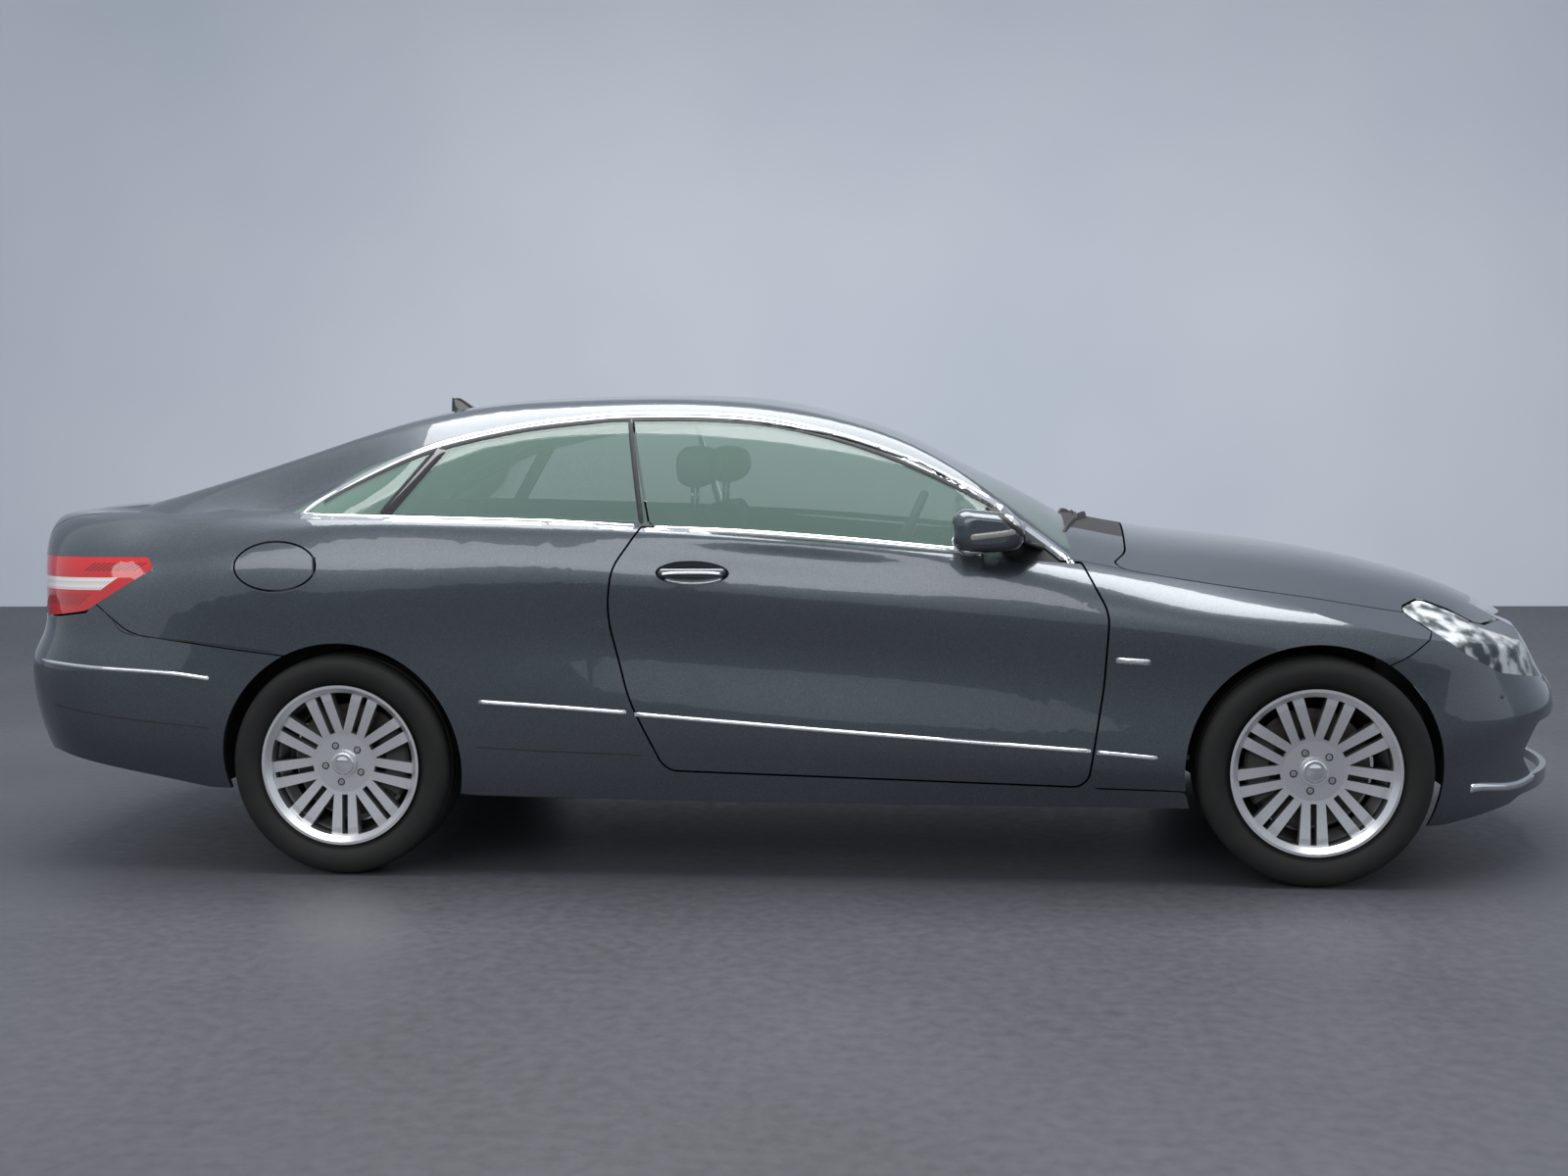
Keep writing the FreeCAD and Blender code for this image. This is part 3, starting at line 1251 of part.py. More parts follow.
# Front suspension: subframe, lower arms with the kingpins, struts with their springs
half_subframe = "arm_width * 1.2"
front_pieces = [
    box("front_cross_member", (f"{front_axle} - {half_subframe}", f"{front_axle} + {half_subframe}"),
        ("-(rail_y + rail_half_width)", "rail_y + rail_half_width"), ("arm_base", "engine_base - seat_gap"))
]
for side, sign in (("right", "-"), ("left", "")):
    def span(low, high, sign=sign):
        return (f"-({high})", f"-({low})") if sign else (low, high)
    front_pieces += [
        box(f"riser_{side}", (f"{front_axle} - {half_subframe}", f"{front_axle} + {half_subframe}"),
            span("rail_y - rail_half_width", "rail_y + rail_half_width"),
            ("engine_base - rail_half_width", "rail_base - seat_gap")),
        box(f"lower_arm_{side}", (f"{front_axle} - arm_width / 3", f"{front_axle} + arm_width / 3"),
            span("rail_y", f"{kingpin_y} + kingpin_radius * 1.8"), ("arm_base", "arm_base + arm_height")),
        rod(f"kingpin_{side}", "kingpin_radius", "arm_height + kingpin_length - moving_gap",
            (front_axle, f"{sign}{kingpin_y}", "arm_base"), (0, 0, 1)),
        rod(f"strut_{side}", "strut_radius", "strut_top - arm_base - arm_height / 2",
            (front_axle, f"{sign}strut_y", "arm_base + arm_height / 2"), (0, 0, 1)),
        rod(f"spring_{side}", "spring_radius", "strut_top - spring_base",
            (front_axle, f"{sign}strut_y", "spring_base"), (0, 0, 1)),
    ]
nodes.append(joined("front_suspension", front_pieces))

# Rear suspension: subframe, final drive, half shafts, arms and hub carriers with their spindles
rear_pieces = [
    box("rear_cross_member", (f"{rear_axle} - arm_width", f"{rear_axle} + arm_width"),
        ("-rail_y", "rail_y"), ("seat_pan_height - axle_beam_height * 0.6", "seat_pan_height - seat_gap")),
    box("final_drive", (f"{rear_axle} - arm_width * 2", f"{rear_axle} + arm_width * 1.6"),
        ("-console_width / 2", "console_width / 2"),
        ("seat_pan_height - axle_beam_height * 1.3", "seat_pan_height - seat_gap")),
    rod("half_shafts", "shaft_radius", f"track_rear - kingpin_offset",
        (rear_axle, f"kingpin_offset / 2 - {rear_wheel_y}", "tyre_radius"), (0, 1, 0)),
]
for side, sign in (("right", "-"), ("left", "")):
    def span(low, high, sign=sign):
        return (f"-({high})", f"-({low})") if sign else (low, high)
    carrier_y = f"({rear_wheel_y} - kingpin_offset)"
    rear_pieces += [
        box(f"rear_arm_{side}", (f"{rear_axle} - arm_width / 2", f"{rear_axle} + arm_width / 2"),
            span("rail_y - arm_width", carrier_y), ("seat_pan_height - axle_beam_height * 0.6",
                                                    "seat_pan_height - axle_beam_height * 0.1")),
        box(f"hub_carrier_{side}", (f"{rear_axle} - hub_carrier_radius", f"{rear_axle} + hub_carrier_radius"),
            span(f"{carrier_y} - carrier_thickness / 2", f"{carrier_y} + carrier_thickness / 2"),
            ("tyre_radius - carrier_rise * 0.7", "tyre_radius + carrier_rise")),
        rod(f"rear_spindle_{side}", "hub_bore_radius - running_gap", "kingpin_offset + disc_thickness",
            (rear_axle, f"{sign}{carrier_y}", "tyre_radius"), (0, -1 if sign else 1, 0)),
    ]
nodes.append(joined("rear_suspension", rear_pieces))

# Engine, radiator and exhaust
engine = box("engine_block", ("engine_x - engine_length / 2", "engine_x + engine_length / 2"),
             ("-engine_width / 2", "engine_width / 2"), ("engine_base", "engine_base + engine_height"))
radiator = box("radiator", ("radiator_x", "radiator_x + radiator_depth"),
               ("-radiator_width / 2", "radiator_width / 2"), ("rail_base", "rail_base + radiator_height"))
nodes += [engine, radiator]
exhaust_front = "(engine_x - engine_length / 2 - exhaust_radius * 1.5)"
silencer_x = f"({rear_axle} - silencer_distance)"
elbow = doc.addObject("Part::Sphere", "exhaust_elbow")
elbow.setExpression("Radius", bound("exhaust_radius"))
place_at(elbow, exhaust_front, "-exhaust_y", "exhaust_height")
upper_elbow = doc.addObject("Part::Sphere", "exhaust_upper_elbow")
upper_elbow.setExpression("Radius", bound("exhaust_radius"))
place_at(upper_elbow, exhaust_front, "-exhaust_y", "engine_base + exhaust_radius * 2")
exhaust_pieces = [
    elbow, upper_elbow,
    rod("exhaust_pipe", "exhaust_radius", f"{exhaust_front} - {silencer_x}",
        (silencer_x, "-exhaust_y", "exhaust_height"), (1, 0, 0)),
    rod("exhaust_riser", "exhaust_radius", "engine_base + exhaust_radius * 2 - exhaust_height",
        (exhaust_front, "-exhaust_y", "exhaust_height"), (0, 0, 1)),
    rod("exhaust_flange", "exhaust_radius", "exhaust_radius * 1.5 - seat_gap",
        (exhaust_front, "-exhaust_y", "engine_base + exhaust_radius * 2"), (1, 0, 0)),
    rod("silencer", "silencer_radius", "silencer_length",
        (silencer_x, "-silencer_length / 2", "boot_floor_height - silencer_radius - seat_gap"), (0, 1, 0)),
    rod("tail_pipe", "exhaust_radius", "tail_pipe_length",
        (silencer_x, "-silencer_length * 0.4", "exhaust_height + exhaust_radius * 2"), (-1, 0, 0)),
]
nodes.append(joined("exhaust", exhaust_pieces))

# Floor pan: floor with tunnel, seat pan, boot tub, firewall, rails and inner wings
floor_half = "(car_width / 2 - door_thickness - seat_gap)"
floor_back = f"({rear_axle} + seat_pan_reach)"
floor_top = "floor_height + floor_thickness"
firewall_front = "firewall_x + wall_thickness"
bulkhead = "(bulkhead_x + wall_thickness)"
tub_end = "tub_length + bulkhead_x"
rail_front = "radiator_x + radiator_depth * 2"
rails, wings = [], []
for side, sign in (("right", "-"), ("left", "")):
    def span(low, high, sign=sign):
        return (f"-({high})", f"-({low})") if sign else (low, high)
    rails += [
        box(f"rail_{side}", ("firewall_x", rail_front),
            span("rail_y - rail_half_width", "rail_y + rail_half_width"),
            ("rail_base", "rail_base + rail_height")),
        box(f"inner_wing_{side}", ("firewall_x", "inner_wing_end"),
            span("rail_y + rail_half_width - wall_thickness", "rail_y + rail_half_width"),
            ("rail_base + rail_height / 2", "inner_wing_top")),
    ]
pan_plates = joined("pan_plates", [
    box("floor", (f"{floor_back} - wall_thickness", firewall_front), (f"-{floor_half}", floor_half),
        ("floor_height", floor_top)),
    box("tunnel", (f"{floor_back} - wall_thickness", firewall_front),
        ("-tunnel_half_width", "tunnel_half_width"), ("floor_height", "floor_height + tunnel_height")),
    box("heel_plate", (f"{floor_back} - wall_thickness", floor_back), (f"-{floor_half}", floor_half),
        ("floor_height", "seat_pan_height + floor_thickness")),
    box("seat_pan", ("-bulkhead_x - wall_thickness", floor_back), ("-boot_half_width", "boot_half_width"),
        ("seat_pan_height", "seat_pan_height + floor_thickness")),
    box("boot_tub", (f"-({tub_end})", "-bulkhead_x"), ("-boot_half_width", "boot_half_width"),
        ("boot_floor_height", "tub_top")),
    box("bulkhead_foot", ("-bulkhead_x - wall_thickness", "-bulkhead_x"),
        ("-boot_half_width", "boot_half_width"),
        ("seat_pan_height", "boot_floor_height + floor_thickness")),
    *rails,
    box("radiator_cross_member", ("radiator_x", "radiator_x + radiator_depth"),
        ("-(rail_y + rail_half_width)", "rail_y + rail_half_width"),
        ("rail_base - floor_thickness * 3", "rail_base - seat_gap")),
    box("radiator_foot_right", ("radiator_x", "radiator_x + radiator_depth"),
        ("-(rail_y + rail_half_width)", "-(rail_y - rail_half_width)"),
        ("rail_base - floor_thickness * 3", "rail_base + floor_thickness")),
    box("radiator_foot_left", ("radiator_x", "radiator_x + radiator_depth"),
        ("rail_y - rail_half_width", "rail_y + rail_half_width"),
        ("rail_base - floor_thickness * 3", "rail_base + floor_thickness")),
])
pan_hollows = joined("pan_hollows", [
    box("tunnel_hollow", (f"{floor_back} - wall_thickness * 2", "firewall_x + wall_thickness * 2"),
        ("wall_thickness - tunnel_half_width", "tunnel_half_width - wall_thickness"),
        ("floor_height - floor_thickness", "floor_height + tunnel_height - wall_thickness")),
    box("tub_hollow", (f"wall_thickness - ({tub_end})", "-bulkhead_x - wall_thickness"),
        ("wall_thickness - boot_half_width", "boot_half_width - wall_thickness"),
        ("boot_floor_height + floor_thickness", "tub_top + floor_thickness")),
])
pan = less("floor_pan", pan_plates, pan_hollows)
nodes.append(pan)
doc.recompute()

# Firewall up to the cowl, beams to the bumpers, and the wheel arch liners, fitted to the inner skin
fitted_depth = skin + size("liner_gap")
fitted_front = barrel(fitted_depth).common(deck(front_deck_shares, fitted_depth))
fitted_rear = barrel(fitted_depth).common(deck(rear_deck_shares, fitted_depth))


def block(x, y, z):
    """A block between pairs of lengths."""
    return Part.makeBox(x[1] - x[0], y[1] - y[0], z[1] - z[0], V(x[0], y[0], z[0]))


firewall_half = size("firewall_half_width")
firewall_z = size("floor_height") + size("floor_thickness") + seat_gap
firewall = block((size("firewall_x"), size("firewall_x") + size("wall_thickness")),
                 (-firewall_half, firewall_half), (firewall_z, car_height))
tunnel_space = block((size("firewall_x") - overrun, size("firewall_x") + overrun),
                     (-size("tunnel_half_width") - seat_gap, size("tunnel_half_width") + seat_gap),
                     (0, size("floor_height") + size("tunnel_height") + seat_gap))
rail_space = [block((size("firewall_x") - overrun, size("firewall_x") + overrun),
                    (sign * size("rail_y") - size("rail_half_width") - seat_gap,
                     sign * size("rail_y") + size("rail_half_width") + seat_gap),
                    (size("rail_base") - seat_gap, size("inner_wing_top") + seat_gap)) for sign in (-1, 1)]
firewall = firewall.cut([tunnel_space] + rail_space)
below_belt = block((0, half_length), (-half_width, half_width), (0, car_height / 2))
under_screen = firewall.common(fitted_front).common(greenhouse(size("glass_thickness") + seat_gap))
add_shape("firewall", firewall.common(below_belt).fuse(under_screen).removeSplitter())


def liner(axle_x, inner_y, fitted):
    """A part-round liner over a right-hand wheel, closed against the inner skin."""
    start = V(axle_x, -half_width, size("tyre_radius"))
    run = half_width - inner_y
    outer, inner = (Part.makeCylinder(radius, run, start, V(0, 1, 0))
                    for radius in (size("liner_radius") + size("liner_thickness"), size("liner_radius")))
    low = block((axle_x - car_height, axle_x + car_height), (-half_width, 0), (0, size("liner_foot")))
    return outer.cut(inner).cut(low).common(fitted)


strut_hole = Part.makeCylinder(size("spring_radius") + panel_gap, car_height,
                               V(front_axle_x, -size("strut_y"), 0), V(0, 0, 1))
wing_y = size("rail_y") + size("rail_half_width") + seat_gap
front_liner = liner(front_axle_x, wing_y, fitted_front).cut(strut_hole)
rear_liner = liner(rear_axle_x, size("boot_half_width") + seat_gap, fitted_rear)
liner_solids = []
for shape in (front_liner, rear_liner):
    liner_solids += on_both_sides(shape)
add_shape("arch_liners", Part.makeCompound(liner_solids))


# Cabin: dashboard, console, seats, parcel shelf and steering wheel
def spot(station, height):
    """A point of a side view as a pair of expressions."""
    return f"{rear_axle} + wheelbase * {station}", f"car_height * {height}"


def pad_across(body, name, points, width):
    """A side view outline padded across the car, with the body placed to hold it central."""
    sketch = new_sketch(body, name + "_outline", "XZ_Plane", f"-({width}) / 2")
    draw_outline(sketch, body, points)
    return extend(body, name + "_pad", sketch, width)


column_x = "(steering_x + column_start * cos(steering_tilt))"
column_z = "(steering_z - column_start * sin(steering_tilt))"
tilt = math.radians(size("steering_tilt"))
towards_driver = (-math.cos(tilt), 0, math.sin(tilt))
away = tuple(-part for part in towards_driver)
column = rod("steering_column", "column_radius", "column_length", (column_x, "seat_y", column_z), away)
nodes.append(column)

dash_block = doc.addObject("PartDesign::Body", "dash_block")
pad_across(dash_block, "dash", [
    spot(0.61, 0.444), spot(0.627, 0.608), spot(0.657, 0.644), spot(0.773, 0.621),
    ("firewall_x - seat_gap", "car_height * 0.5"), ("firewall_x - seat_gap", "car_height * 0.4"),
    spot(0.7, 0.386),
], "dash_half_width * 2")
column_bore = rod("column_bore", "column_radius + running_gap", "column_length * 2",
                  ("steering_x", "seat_y", "steering_z"), away)
nodes.append(less("dashboard", dash_block, column_bore))

console = new_body("centre_console")
tunnel_top = "floor_height + tunnel_height + seat_gap"
pad_across(console, "console", [
    (spot(0.4, 0)[0], tunnel_top), spot(0.4, 0.42), spot(0.545, 0.415), spot(0.605, 0.44),
    (spot(0.605, 0)[0], tunnel_top),
], "console_width")

seat = doc.addObject("PartDesign::Body", "seat")
pad_across(seat, "seat", [
    spot(0.392, 0.215), spot(0.574, 0.215), spot(0.59, 0.258), spot(0.589, 0.326), spot(0.574, 0.344),
    spot(0.454, 0.322), spot(0.427, 0.336), spot(0.4, 0.458), spot(0.369, 0.716), spot(0.359, 0.757),
    spot(0.334, 0.76), spot(0.326, 0.73), spot(0.345, 0.501), spot(0.359, 0.301), spot(0.366, 0.236),
], "seat_width")
pad_across(seat, "head_rest", [
    spot(0.36, 0.73), spot(0.379, 0.777), spot(0.387, 0.83), spot(0.382, 0.882), spot(0.365, 0.898),
    spot(0.343, 0.898), spot(0.329, 0.859), spot(0.331, 0.777), spot(0.338, 0.73),
], "head_rest_width")
base_top = spot(0, 0.23)[1]
pad_across(seat, "seat_base", [
    (spot(0.41, 0)[0], f"{floor_top} + seat_gap"), (spot(0.556, 0)[0], f"{floor_top} + seat_gap"),
    (spot(0.556, 0)[0], base_top), (spot(0.41, 0)[0], base_top),
], "seat_base_width")
place_at(seat, "0", "-seat_y", "0")
doc.recompute()
seat_left = mirrored("seat_left", seat)
seats = doc.addObject("Part::Compound", "front_seats")
seats.Label = "front_seats"
seats.Links = [seat, seat_left]
nodes.append(seats)

bench = new_body("rear_seat")
pan_top = "seat_pan_height + floor_thickness + seat_gap"
bench_back = "seat_gap - bulkhead_x"
pad_across(bench, "bench", [
    (spot(0.208, 0)[0], pan_top), spot(0.218, 0.286), spot(0.218, 0.344), spot(0.2, 0.361),
    spot(0.063, 0.336), spot(0.045, 0.372), spot(0.014, 0.573), spot(0.001, 0.644),
    (bench_back, "car_height * 0.652"), (bench_back, pan_top),
], "rear_seat_width")
shelf = box("parcel_shelf", ("-bulkhead_x - shelf_length", "-bulkhead_x - seat_gap"),
            ("-rear_seat_width / 2", "rear_seat_width / 2"),
            ("tub_top + seat_gap", "tub_top + floor_thickness"))
nodes.append(shelf)

rim_ring = doc.addObject("Part::Torus", "steering_rim")
rim_ring.setExpression("Radius1", bound("steering_wheel_radius - steering_rim_radius"))
rim_ring.setExpression("Radius2", bound("steering_rim_radius"))
ring_reach = "(steering_wheel_radius - steering_rim_radius)"
half_spoke, half_deep = "steering_spoke_width / 2", "steering_spoke_depth / 2"
steering = joined("steering_wheel", [
    rim_ring,
    rod("steering_hub", "steering_hub_radius", "steering_hub_depth",
        ("0", "0", "-steering_hub_depth / 2"), (0, 0, 1)),
    rod("steering_shaft", "column_shaft_radius", "column_start - seat_gap",
        ("0", "0", "seat_gap - column_start"), (0, 0, 1)),
    box("cross_spoke", (f"-{half_spoke}", half_spoke), (f"-{ring_reach}", ring_reach),
        (f"-{half_deep}", half_deep)),
    box("lower_spoke", (f"-{ring_reach}", "0"), (f"-{half_spoke}", half_spoke), (f"-{half_deep}", half_deep)),
])
nodes.append(place_at(steering, "steering_x", "seat_y", "steering_z",
                      FreeCAD.Rotation(V(0, 0, 1), V(*towards_driver))))


# Check and write every sub-part
doc.recompute()
for item in doc.Objects:
    if "Invalid" in item.State or "Error" in item.State:
        raise RuntimeError(f"{item.Label} failed: {item.State}")
os.makedirs("parts", exist_ok=True)
for item in nodes:
    if item.Shape.isNull() or not item.Shape.isValid():
        raise RuntimeError(f"{item.Label} has no valid shape")
    item.Shape.exportStep(f"parts/{item.Label}.step")
    print(item.Label, len(item.Shape.Solids), round(item.Shape.Volume / 1e6, 2))
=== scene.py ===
# %% [markdown]
# # A coupe car, dressed for its portrait
# The car's panels, glass and wheels come ready made from its construction model, in metres, with X towards
# the nose, Y to the car's left and Z up. This lesson gives each of them its finish, and adds the thin trim,
# seals, tread, lamp insides and upholstery that a construction model leaves out.

# %% Load the frame
import bpy
import bmesh
import math
from mathutils import Matrix, Vector
from mathutils.bvhtree import BVHTree


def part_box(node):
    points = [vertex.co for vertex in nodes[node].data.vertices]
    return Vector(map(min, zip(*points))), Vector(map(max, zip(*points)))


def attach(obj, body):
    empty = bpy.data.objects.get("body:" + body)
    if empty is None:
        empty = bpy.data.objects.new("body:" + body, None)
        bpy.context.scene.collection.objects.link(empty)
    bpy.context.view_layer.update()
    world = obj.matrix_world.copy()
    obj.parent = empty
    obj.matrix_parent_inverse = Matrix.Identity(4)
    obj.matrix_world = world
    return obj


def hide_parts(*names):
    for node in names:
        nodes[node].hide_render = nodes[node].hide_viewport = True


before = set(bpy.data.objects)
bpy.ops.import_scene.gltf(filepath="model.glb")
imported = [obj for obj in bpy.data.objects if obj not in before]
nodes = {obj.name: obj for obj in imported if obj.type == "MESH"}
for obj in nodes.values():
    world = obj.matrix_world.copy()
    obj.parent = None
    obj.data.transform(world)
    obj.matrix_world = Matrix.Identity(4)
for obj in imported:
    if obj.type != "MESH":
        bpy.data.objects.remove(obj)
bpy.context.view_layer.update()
scene = bpy.context.scene
ends, sides = ("front", "rear"), ("right", "left")
sign_of = {"right": -1, "left": 1}

# %% [markdown]
# ## The camera
# The portrait is taken from a little over six metres off the right-hand side, at chest height, turned a
# little towards the tail and tipped slightly down. A lens of 41 mm on a 36 mm sensor gives that field.

# %% Camera
camera = bpy.data.objects.new("camera", bpy.data.cameras.new("camera"))
scene.collection.objects.link(camera)
scene.camera = camera
camera.data.sensor_width = 36
camera.data.lens = 41.45
yaw, pitch, roll = math.radians(5.67), math.radians(90 - 4.49), math.radians(-0.52)
camera.matrix_world = (Matrix.Translation((0.541, -5.893, 1.230)) @ Matrix.Rotation(yaw, 4, "Z")
                       @ Matrix.Rotation(pitch, 4, "X") @ Matrix.Rotation(roll, 4, "Z"))

# %% [markdown]
# ## Writing materials as sums
# A material is a web of nodes. Written out node by node it is long, so one small class wraps a socket and
# turns Python's operators into Math nodes, and another makes any other node from its type, its settings
# and what goes into it. `1 - mask` then reads as it would on paper.


# %% Signals and finishes
def maths_method(operation):
    return lambda signal, other: signal.finish.maths_of(operation, signal, other)


class Signal:
    """A value that changes over a surface."""

    def __init__(self, finish, socket):
        self.finish, self.socket = finish, socket

    __add__ = __radd__ = maths_method("ADD")
    __mul__ = __rmul__ = maths_method("MULTIPLY")
    __sub__, __pow__ = maths_method("SUBTRACT"), maths_method("POWER")
    __gt__, __lt__ = maths_method("GREATER_THAN"), maths_method("LESS_THAN")

    def __rsub__(self, other):
        return self.finish.maths_of("SUBTRACT", other, self)


class Finish:
    """A material with a Principled shader. Fixed values go straight onto the shader's own sockets."""

    def __init__(self, name, **fixed):
        self.material = bpy.data.materials.new(name)
        self.material.use_nodes = True
        self.tree = self.material.node_tree
        self.shader = self.tree.nodes["Principled BSDF"]
        for key, value in fixed.items():
            self.shader.inputs[key.replace("_", " ").title().replace("Ior", "IOR")].default_value = value

    def node(self, kind, settings=None, inputs=None, output=0):
        """A node of any type: its settings first, then its inputs. Gives one output as a signal."""
        made = self.tree.nodes.new(kind)
        for key, value in (settings or {}).items():
            if key == "stops":
                ramp = made.color_ramp.elements
                while len(ramp) < len(value):
                    ramp.new(0.5)
                for element, (place, colour) in zip(ramp, value):
                    element.position, element.color = place, (*colour, 1)
            else:
                setattr(made, key, value)
        for key, value in (inputs or {}).items():
            if isinstance(value, Signal):
                self.tree.links.new(value.socket, made.inputs[key])
            else:
                made.inputs[key].default_value = value
        return Signal(self, made.outputs[output])

    def feed(self, name, signal):
        self.tree.links.new(signal.socket, self.shader.inputs[name])
        return self

    def place(self):
        """Where a point lies on the car."""
        return self.node("ShaderNodeTexCoord", output="Object")

    def maths_of(self, operation, *values):
        return self.node("ShaderNodeMath", {"operation": operation}, dict(enumerate(values)))

    def axis(self, name):
        return self.node("ShaderNodeSeparateXYZ", None, {0: self.place()}, name)

    def noise(self, scale, detail=2, vector=None):
        inputs = {"Vector": vector or self.place(), "Scale": scale, "Detail": detail}
        return self.node("ShaderNodeTexNoise", None, inputs, "Fac")

    def blend(self, mask, low, high):
        """A colour that runs from low to high as the mask runs from 0 to 1."""
        inputs = {0: mask, 6: (*low, 1) if isinstance(low, tuple) else low,
                  7: (*high, 1) if isinstance(high, tuple) else high}
        return self.node("ShaderNodeMix", {"data_type": "RGBA"}, inputs, 2)

    def mottle(self, scale, detail, low, high):
        """A base colour that wanders between two."""
        return self.feed("Base Color", self.blend(self.noise(scale, detail), low, high))

    def bump(self, height, strength, depth):
        made = self.node("ShaderNodeBump", None, {"Strength": strength, "Distance": depth, "Height": height})
        return self.feed("Normal", made)


# %% [markdown]
# ## Paint
# Metallic paint is a dark coat with fine bright flakes under a clear varnish. The flakes are a fine
# Voronoi pattern that lifts the colour here and there, and the varnish is the shader's coat. A very faint
# orange peel bends the reflections, as on a real car.
#
# A panel is painted outside and lined inside, so each painted finish is mixed with a lining where a mask
# says so. On the sides the mask picks faces that look towards the middle of the car, and on the roof, lids
# and bonnet those that look down.


# %% Paint
def painted(name, mask_of, inner_colour):
    """Metallic paint, with a matt lining where a mask is 1."""
    finish = Finish(name, coat_roughness=0.02)
    outside = 1 - mask_of(finish)
    flake = finish.node("ShaderNodeTexVoronoi", None, {"Vector": finish.place(), "Scale": 1400}, "Color")
    bright = finish.node("ShaderNodeSeparateColor", None, {0: flake}, "Red") ** 3
    coat = finish.blend(bright, (0.042, 0.052, 0.064), (0.13, 0.15, 0.17))
    cloth = finish.blend(finish.noise(300, 2), inner_colour, tuple(0.7 * part for part in inner_colour))
    finish.feed("Base Color", finish.blend(outside, cloth, coat))
    finish.feed("Metallic", outside * 0.6)
    finish.feed("Roughness", 0.8 - outside * 0.48)
    finish.feed("Coat Weight", outside)
    finish.bump(finish.noise(90, 1), 0.04, 0.0006)
    return finish


def facing(finish, name):
    """How far a face looks along one axis of the car."""
    normal = finish.node("ShaderNodeTexCoord", output="Normal")
    return finish.node("ShaderNodeSeparateXYZ", None, {0: normal}, name)


def inner_side(finish):
    return (facing(finish, "Y") * finish.maths_of("SIGN", finish.axis("Y")) < -0.3) * (finish.axis("Z") > 0.3)


paint = painted("metallic_paint", inner_side, (0.03, 0.03, 0.032))
roof_paint = painted("roof_paint", lambda finish: facing(finish, "Z") < -0.2, (0.3, 0.3, 0.29))
lid_paint = painted("lid_paint", lambda finish: facing(finish, "Z") < -0.5, (0.025, 0.025, 0.027))
cowl_paint = painted("cowl_paint", lambda finish: finish.maths_of("ABSOLUTE", finish.axis("Y")) < 0.42,
                     (0.014, 0.014, 0.015))
mirror_paint = painted("mirror_paint", lambda finish: finish.axis("Z") < 0.944, (0.014, 0.014, 0.015))

# %% [markdown]
# ## Bright metal, glass and black parts
# Chrome trim is almost a mirror. The side glass is tinted green, and is thin, so it is mixed from a clear
# tint and a sheet of gloss rather than made to bend light.

# %% Metals
chrome = Finish("bright_chrome", metallic=1.0, roughness=0.06)
chrome.mottle(30, 2, (0.78, 0.79, 0.8), (0.86, 0.87, 0.88))

alloy = Finish("silver_alloy", metallic=0.85, coat_weight=0.6, coat_roughness=0.08)
alloy_grain = alloy.noise(240, 3)
# The wheel turns near black towards the middle of the car and is silver on its outer face: painted shade deeper
# in the rim, behind the spokes.
from_middle = alloy.maths_of("ABSOLUTE", alloy.axis("Y"))
out_of_painted_shade = alloy.node("ShaderNodeMapRange", None, {0: from_middle, 1: 0.8, 2: 0.845})
silver = alloy.blend(alloy_grain, (0.62, 0.63, 0.64), (0.78, 0.79, 0.8))
alloy.feed("Base Color", alloy.blend(out_of_painted_shade, (0.035, 0.033, 0.032), silver))
alloy.feed("Roughness", alloy_grain * 0.1 + 0.27)

iron = Finish("brake_iron", metallic=0.9)
iron_stain = iron.noise(55, 4)
iron.feed("Base Color", iron.blend(iron_stain, (0.05, 0.042, 0.038), (0.15, 0.135, 0.125)))
iron.feed("Roughness", iron_stain * 0.3 + 0.3)
iron.bump(iron.noise(420, 2), 0.2, 0.0005)

pipe_steel = Finish("pipe_steel", metallic=1.0)
pipe_stain = pipe_steel.noise(14, 4)
pipe_steel.feed("Base Color", pipe_steel.blend(pipe_stain, (0.22, 0.19, 0.17), (0.42, 0.4, 0.38)))
pipe_steel.feed("Roughness", pipe_stain * 0.3 + 0.25)


# %% [markdown]
# A pane shows what is behind it through a tint, and shines more the more it is seen at a slant. So its
# opacity is small face on and grows with Fresnel's law.


# %% Glass
def sheet_glass(name, tint, thinnest, shine=1.0):
    """A thin pane: a clear tint that turns to a mirror at a slant."""
    finish = Finish(name, roughness=0.01, coat_weight=shine, coat_roughness=0.01, ior=1.6)
    finish.feed("Base Color", finish.blend(finish.noise(3), tint, tuple(part * 1.05 for part in tint)))
    slant = finish.node("ShaderNodeFresnel", None, {"IOR": 1.5})
    finish.feed("Alpha", slant * (1 - thinnest) + thinnest)
    finish.material.surface_render_method = "BLENDED"
    return finish


side_glass = sheet_glass("green_tinted_glass", (0.2, 0.31, 0.26), 0.36)
screen_glass = sheet_glass("screen_glass", (0.16, 0.22, 0.2), 0.32)
clear_lens = sheet_glass("clear_lens", (0.75, 0.78, 0.8), 0.1, 0.35)
# The lens's colour runs in blotches from dark to near white: painted reflections on a clear lens.
clear_lens.feed("Base Color", clear_lens.blend((clear_lens.noise(17, 2) - 0.5) * 8 + 0.6, (0.12, 0.14, 0.15),
                                               (0.9, 0.92, 0.93)))
clear_lens.bump(clear_lens.noise(24, 1), 0.5, 0.006)

# %% [markdown]
# ## Plastics, rubber and cloth
# Black plastic has a fine moulded grain, and rubber is duller and a little dusty. The leather of the seats
# has cells of grain that a Voronoi pattern draws well.

# %% Black parts
black_plastic = Finish("grained_black_plastic", specular_ior_level=0.4)
grain_inputs = {"Vector": black_plastic.place(), "Scale": 700}
grain = black_plastic.node("ShaderNodeTexVoronoi", None, grain_inputs, "Distance")
black_plastic.mottle(25, 2, (0.012, 0.012, 0.013), (0.022, 0.022, 0.024))
black_plastic.feed("Roughness", grain * 0.2 + 0.45)
black_plastic.bump(grain, 0.25, 0.0004)

